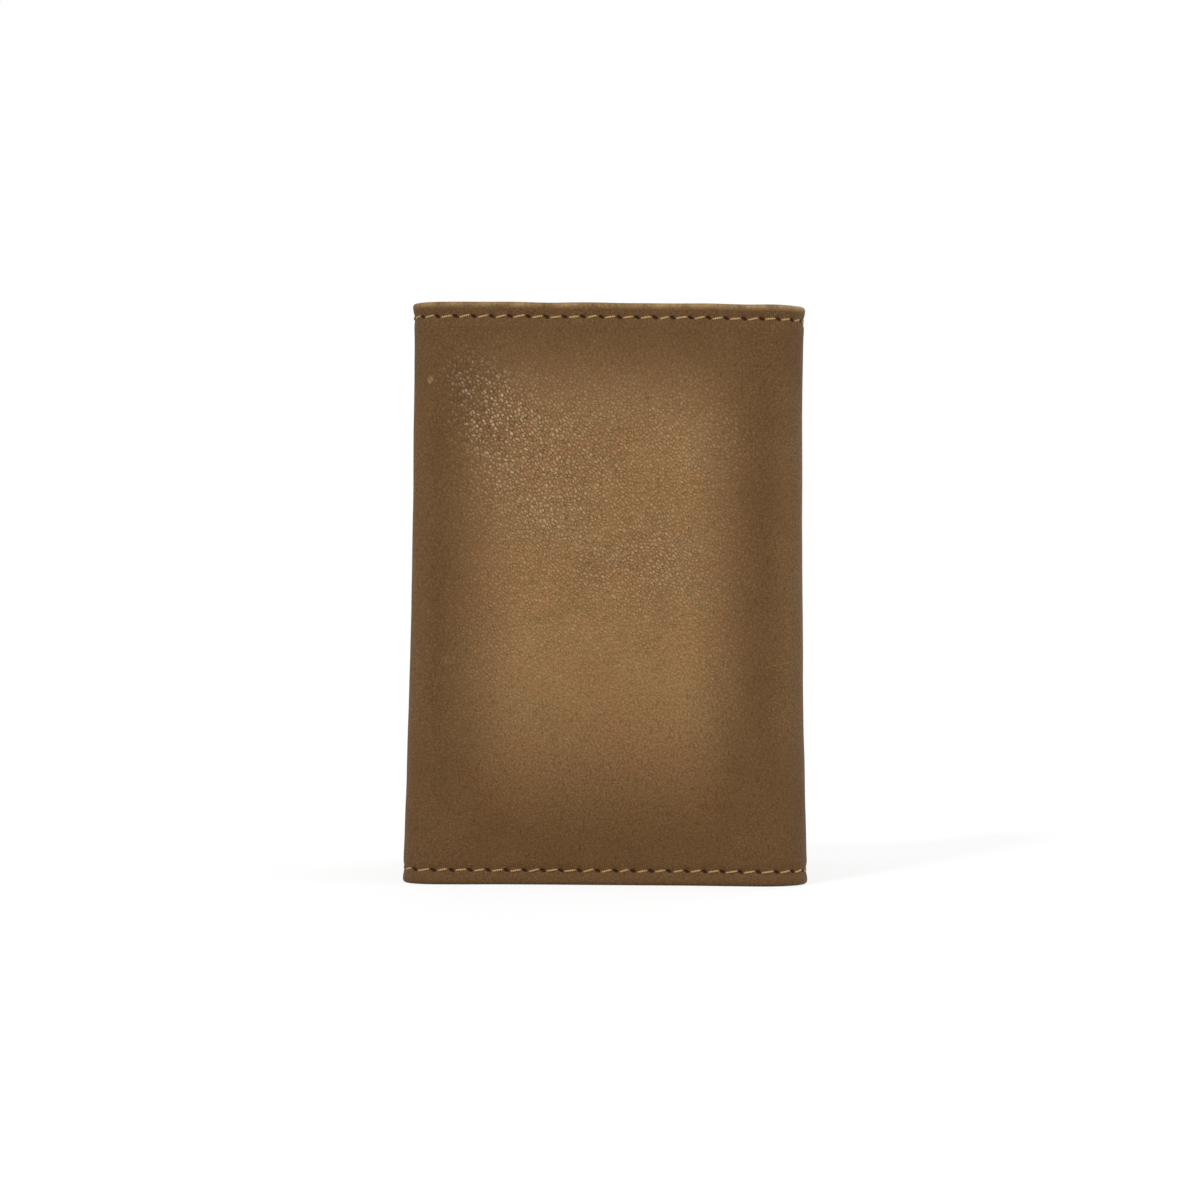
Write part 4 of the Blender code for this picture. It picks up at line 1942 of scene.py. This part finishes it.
@dataclass
class WindowPocket(Assembly):
    """The slip pocket of the middle panel, and the clear window and its frame in front of it."""

    pockets: CardPockets
    side: float = 6.5 * MM
    foot: float = 9.0 * MM
    head: float = 10.0 * MM
    window_radius: float = 3.0 * MM
    notch_width: float = 22.0 * MM
    notch_depth: float = 5.0 * MM
    rounding: float = 0.2 * MM
    edge_dark: float = 0.65
    edge_margin: float = 7.0 * MM
    film_grid: float = 1.5 * MM
    film_rounding: float = 0.08 * MM
    bands: int = 12
    arc_step: float = math.radians(11)
    straight_step: float = 1.2 * MM

    def pile(self) -> Pile:
        """The slip pocket and the frame as a pile."""
        return Pile.of(self.form, [["center_slip_pocket"], ["id_window_frame"]])

    def uprights(self, pile: Pile) -> list[float]:
        """Where the upright seams of the middle panel stand along the lay."""
        return [pile.start + self.pockets.seam_inset, pile.stop - self.pockets.seam_inset]

    def build(self) -> None:
        """Makes the slip pocket, the film and the frame."""
        pile = self.pile()
        uprights = self.uprights(pile)
        self.pockets.leather_piece("center_slip_pocket", "center", 0, pile, uprights)
        self.build_film(pile)
        self.build_frame(pile, uprights)

    def build_film(self, pile: Pile) -> None:
        """Makes the clear film.

        Args:
            pile: The pile that it is sewn in.
        """
        room = Laid.of(self.form, "id_window")
        columns = steps(room.start, room.stop, self.film_grid)
        rows = steps(room.low, room.high, self.film_grid)
        cut = Sheet(columns, rows, room.depth, room.thickness, self.film_rounding, 2).cut()
        piece = self.shop.lay(cut, "id_window_film", Finish.FILM, 0.0, pile.sewn_down(room, 1))
        self.shop.fix(piece, "center", "id_window")

    def loop(self, room: Laid) -> list[tuple[Vector, Vector]]:
        """Pairs of places round the frame: one on the window's edge, one on the frame's outer edge.

        Args:
            room: The frame's room on the lay.

        Returns:
            The pairs, once round from the lower left corner.
        """
        radius = self.window_radius
        low = Vector((room.start + self.side + radius, room.low + self.foot + radius))
        high = Vector((room.stop - self.side - radius, room.high - self.head - radius))
        centres = (low, Vector((high.x, low.y)), high, Vector((low.x, high.y)))
        left, right, bottom, top = room.start, room.stop, room.low, room.high
        corners = ((left, bottom), (right, bottom), (right, top), (left, top))
        pairs = []
        for number, (centre, corner) in enumerate(zip(centres, corners)):
            first = math.pi + number * QUARTER
            towards = Vector(corner) - centre
            middle = first + (math.atan2(towards.y, towards.x) - first) % (2 * math.pi)
            halves = ((first, middle), (middle, first + QUARTER))
            for turn in merged(*(steps(start, stop, self.arc_step) for start, stop in halves)):
                way = Vector((math.cos(turn), math.sin(turn)))
                pairs.append((centre + way * radius, self.hit(centre, way, room)))
            inner, outer = pairs[-1]
            run = centres[(number + 1) % 4] - centre
            count = max(round(run.length / self.straight_step), 2)
            pairs += [(inner + run * k / count, outer + run * k / count) for k in range(1, count)]
        return pairs

    def hit(self, centre: Vector, way: Vector, room: Laid) -> Vector:
        """Where a ray from the centre of a window corner meets the frame's outer edge.

        Args:
            centre: The centre of the corner.
            way: The direction of the ray.
            room: The frame's room on the lay.

        Returns:
            The place on the edge.
        """
        reach = []
        if abs(way.x) > TINY:
            reach.append(((room.stop if way.x > 0 else room.start) - centre.x) / way.x)
        if abs(way.y) > TINY:
            reach.append(((room.high if way.y > 0 else room.low) - centre.y) / way.y)
        return centre + way * min(reach)

    def build_frame(self, pile: Pile, uprights: list[float]) -> None:
        """Makes the leather frame: a ring of faces between its two edges, thickened and rounded.

        Args:
            pile: The pile that it is sewn in.
            uprights: Where the upright seams stand along the lay.
        """
        room = Laid.of(self.form, "id_window_frame")
        pairs = self.loop(room)
        shape = bmesh.new()
        count = len(pairs)
        bmesh.ops.create_grid(shape, x_segments=count, y_segments=self.bands, size=0.5)
        for vert in shape.verts:
            inner, outer = pairs[round((vert.co.x + 0.5) * count) % count]
            edge = Vector((outer.x, outer.y - self.notch(outer, room)))
            flat = inner.lerp(edge, vert.co.y + 0.5)
            vert.co = (flat.x, flat.y, -room.depth)
        bmesh.ops.remove_doubles(shape, verts=shape.verts, dist=0.001 * MM)
        bmesh.ops.recalc_face_normals(shape, faces=shape.faces)
        if shape.faces[:][0].normal.z < 0:
            bmesh.ops.reverse_faces(shape, faces=shape.faces)
        Sheet([], [], room.depth, room.thickness, self.rounding, 3).thicken(shape)

        def touch(along: float, up: float, depth: float) -> Touched:
            """Sews the frame down and tones its edges.

            Args:
                along: Distance along the lay.
                up: Height above the lower edge.
                depth: Depth as it was cut.

            Returns:
                The depth as worked, the tone (burnish, rubbing, calm) and the seam (phase, distance, share).
            """
            inside = room.inwards(depth)
            edge = min(up - room.low, along - room.start, room.stop - along)
            phase, aside, pressed = self.pockets.seam(along, up, uprights)
            worked = depth + pile.shift(room, 1, along, up) - inside * pressed
            burnish = self.edge_dark * fade(0.0, self.edge_margin, edge)
            return worked, (burnish, 0.0, self.pockets.calm), (phase, -aside, inside)

        piece = self.shop.lay(shape, "id_window_surround", Finish.POCKET, 0.0, touch)
        self.shop.fix(piece, "center", "id_window_frame")

    def notch(self, place: Vector, room: Laid) -> float:
        """How far the thumb notch cuts down at a place on the frame's upper edge.

        Args:
            place: A place on the outer edge.
            room: The frame's room on the lay.

        Returns:
            The distance downwards.
        """
        across = place.x - room.middle
        if place.y < room.high - NEAR or abs(across) >= self.notch_width / 2:
            return 0.0
        radius = (self.notch_width**2 / 4 + self.notch_depth**2) / (2 * self.notch_depth)
        return math.sqrt(radius**2 - across**2) - (radius - self.notch_depth)


@dataclass
class InnerSeams(Assembly):
    """The inner side of the seams: along the lower edge, up the pockets and round the window."""

    stitching: Stitching
    pockets: CardPockets
    window: WindowPocket
    window_margin: float = 1.7 * MM
    window_lift: float = 0.09 * MM
    end_gap: float = 3.0 * MM
    pocket_gap: float = 1.0 * MM

    def build(self) -> None:
        """Sews the rows of the middle panel and of both wings."""
        middle = self.window.pile()
        uprights = self.window.uprights(middle)
        highest = middle.high - self.pocket_gap
        rows = [stitch for along in uprights for stitch in self.upright(along, highest, middle)]
        rows += self.round_window(middle)
        for side in Side:
            border = abs(self.form.border(side))
            rows += [stitch for stitch in self.level(side, middle) if abs(stitch.along) < border]
        self.shop.fix(self.stitching.sew("middle_inner_stitches", rows, 0.0), "center")
        for side in Side:
            self.build_wing(side)

    def build_wing(self, side: Side) -> None:
        """Sews the rows of one wing.

        Args:
            side: The side of the wing.
        """
        pile = self.pockets.pile(side)
        border = abs(self.form.border(side))
        row = [stitch for stitch in self.level(side, pile) if abs(stitch.along) >= border]
        self.shop.bend(self.stitching.sew(f"{side.label}_inner_bottom_stitches", row, 0.0), side)
        by_end, by_fold = self.pockets.uprights(side, pile)
        rows = self.upright(by_end, self.form.height - self.end_gap, pile)
        rows += self.upright(by_fold, pile.high - self.pocket_gap, pile)
        self.shop.fix(self.stitching.sew(f"{side.label}_inner_upright_stitches", rows, 0.0), side.wing)

    def level(self, side: Side, pile: Pile) -> list[Stitch]:
        """The stitches along the lower edge on one side, from the middle of the lay to the free end.

        Args:
            side: The side of the lay.
            pile: The pile that is sewn.

        Returns:
            The stitches.
        """
        up = self.form.seam_inset
        places = self.form.level_places(side)
        return [Stitch(along, up, 0.0, pile.top(along, up), -1) for along in places]

    def upright(self, along: float, top: float, pile: Pile) -> list[Stitch]:
        """The stitches of an upright row, from the lower seam to under this height."""
        heights = self.form.upright_places(top)
        return [Stitch(along, up, QUARTER, pile.top(along, up), -1) for up in heights]

    def round_window(self, pile: Pile) -> list[Stitch]:
        """The stitches round the window, a little outside its edge.

        Args:
            pile: The pile that is sewn.

        Returns:
            The stitches.
        """
        room = Laid.of(self.form, "id_window_frame")
        path = []
        for inner, outer in self.window.loop(room):
            path.append(inner + (outer - inner).normalized() * self.window_margin)
        path.append(path[0])
        lengths = [0.0]
        for first, second in zip(path, path[1:]):
            lengths.append(lengths[-1] + (second - first).length)
        count = round(lengths[-1] / STITCH_PITCH)
        stitches = []
        for k in range(count):
            run = (k + 0.5) * lengths[-1] / count
            last = next(n for n, length in enumerate(lengths) if length >= run)
            share = (run - lengths[last - 1]) / (lengths[last] - lengths[last - 1])
            place = path[last - 1].lerp(path[last], share)
            way = path[last] - path[last - 1]
            depth = room.depth + room.thickness + pile.shift(room, 1, place.x, place.y)
            turn = math.atan2(way.y, way.x)
            stitches.append(Stitch(place.x, place.y, turn, depth + self.window_lift, -1))
        return stitches


@dataclass(frozen=True)
class Lamp:
    """A soft light from far off: where it shines from, how wide it looks in radians, and its strength."""

    name: str
    origin: Triple
    spread: float
    strength: float

    def hang(self) -> None:
        """Adds the lamp, which reaches the wallet and the whole floor evenly."""
        data = bpy.data.lights.new(self.name, "SUN")
        data.angle = self.spread
        data.energy = self.strength
        lamp = bpy.data.objects.new(self.name, data)
        lamp.rotation_euler = (-Vector(self.origin)).to_track_quat("-Z", "Y").to_euler()
        bpy.context.scene.collection.objects.link(lamp)


@dataclass
class Studio:
    """A pale floor, soft light and the camera."""

    distance: float = 0.7245
    lens: float = 110.0
    aim_x: float = -1.4 * MM
    aim_z: float = 53.9 * MM
    roll: float = math.radians(-0.4)
    floor_side: float = 6.0
    floor_drop: float = 0.05 * MM
    floor_grey: float = 0.62
    floor_glow: float = 1.25
    glow_share: float = 0.64
    ambient: float = 0.5
    lamps: tuple[Lamp, ...] = (
        Lamp("key", (-0.45, -0.85, 0.70), 0.16, 1.62),
        Lamp("fill", (0.9, -0.30, 0.35), 0.8, 0.8),
        Lamp("back", (0.2, 0.9, 0.7), 0.8, 0.9),
    )

    def build(self) -> None:
        """Sets the stage."""
        self.build_world()
        self.build_floor()
        for lamp in self.lamps:
            lamp.hang()
        self.build_camera()
        bpy.context.scene.view_settings.view_transform = "Standard"

    def seen(self, shade: Shading) -> Socket:
        """1 for rays from the camera and for those that a gloss or a clear piece sends on."""
        path = shade.node("ShaderNodeLightPath", output="Is Camera Ray")
        return path.highest(path.other("Is Glossy Ray")).highest(path.other("Is Transmission Ray"))

    def build_world(self) -> None:
        """White where it is seen, and a plain grey light otherwise."""
        world = bpy.data.worlds.new("surroundings")
        bpy.context.scene.world = world
        shade = Shading(world)
        strength = self.seen(shade) * (1.0 - self.ambient) + self.ambient
        sockets = {"Strength": strength, "Color": (1, 1, 1, 1)}
        shade.output(shade.node("ShaderNodeBackground", sockets=sockets))

    def build_floor(self) -> None:
        """A pale floor that looks white where it is lit and keeps the shadow."""
        shape = bmesh.new()
        bmesh.ops.create_grid(shape, x_segments=1, y_segments=1, size=self.floor_side / 2)
        bmesh.ops.translate(shape, verts=shape.verts, vec=(0, 0, -self.floor_drop))
        mesh = bpy.data.meshes.new("floor")
        shape.to_mesh(mesh)
        shape.free()
        shade = Shading.named("floor_paint")
        grey = (self.floor_grey, self.floor_grey, self.floor_grey, 1)
        plain = shade.node("ShaderNodeBsdfDiffuse", sockets={"Color": grey})
        glow = shade.node("ShaderNodeEmission", sockets={"Strength": self.floor_glow})
        share = self.seen(shade) * self.glow_share
        shade.output(shade.node("ShaderNodeMixShader", sockets={0: share, 1: plain, 2: glow}))
        mesh.materials.append(shade.owner)
        floor = bpy.data.objects.new("floor", mesh)
        bpy.context.scene.collection.objects.link(floor)

    def build_camera(self) -> None:
        """A level camera square to the middle panel."""
        data = bpy.data.cameras.new("camera")
        data.lens = self.lens
        camera = bpy.data.objects.new("camera", data)
        camera.location = (self.aim_x, -self.distance, self.aim_z)
        camera.rotation_euler = (QUARTER, self.roll, 0.0)
        bpy.context.scene.collection.objects.link(camera)
        bpy.context.scene.camera = camera


def main() -> None:
    """Builds the wallet's pieces in order, then the stage."""
    logging.basicConfig(level=logging.INFO, format="%(name)s: %(message)s")
    shop = Workshop.opened()
    Cover(shop).build()
    stitching = Stitching(shop)
    stitching.build()
    Linings(shop).build()
    pockets = CardPockets(shop)
    pockets.build()
    window = WindowPocket(shop, pockets)
    window.build()
    InnerSeams(shop, stitching, pockets, window).build()
    Studio().build()


if __name__ == "__main__":
    main()
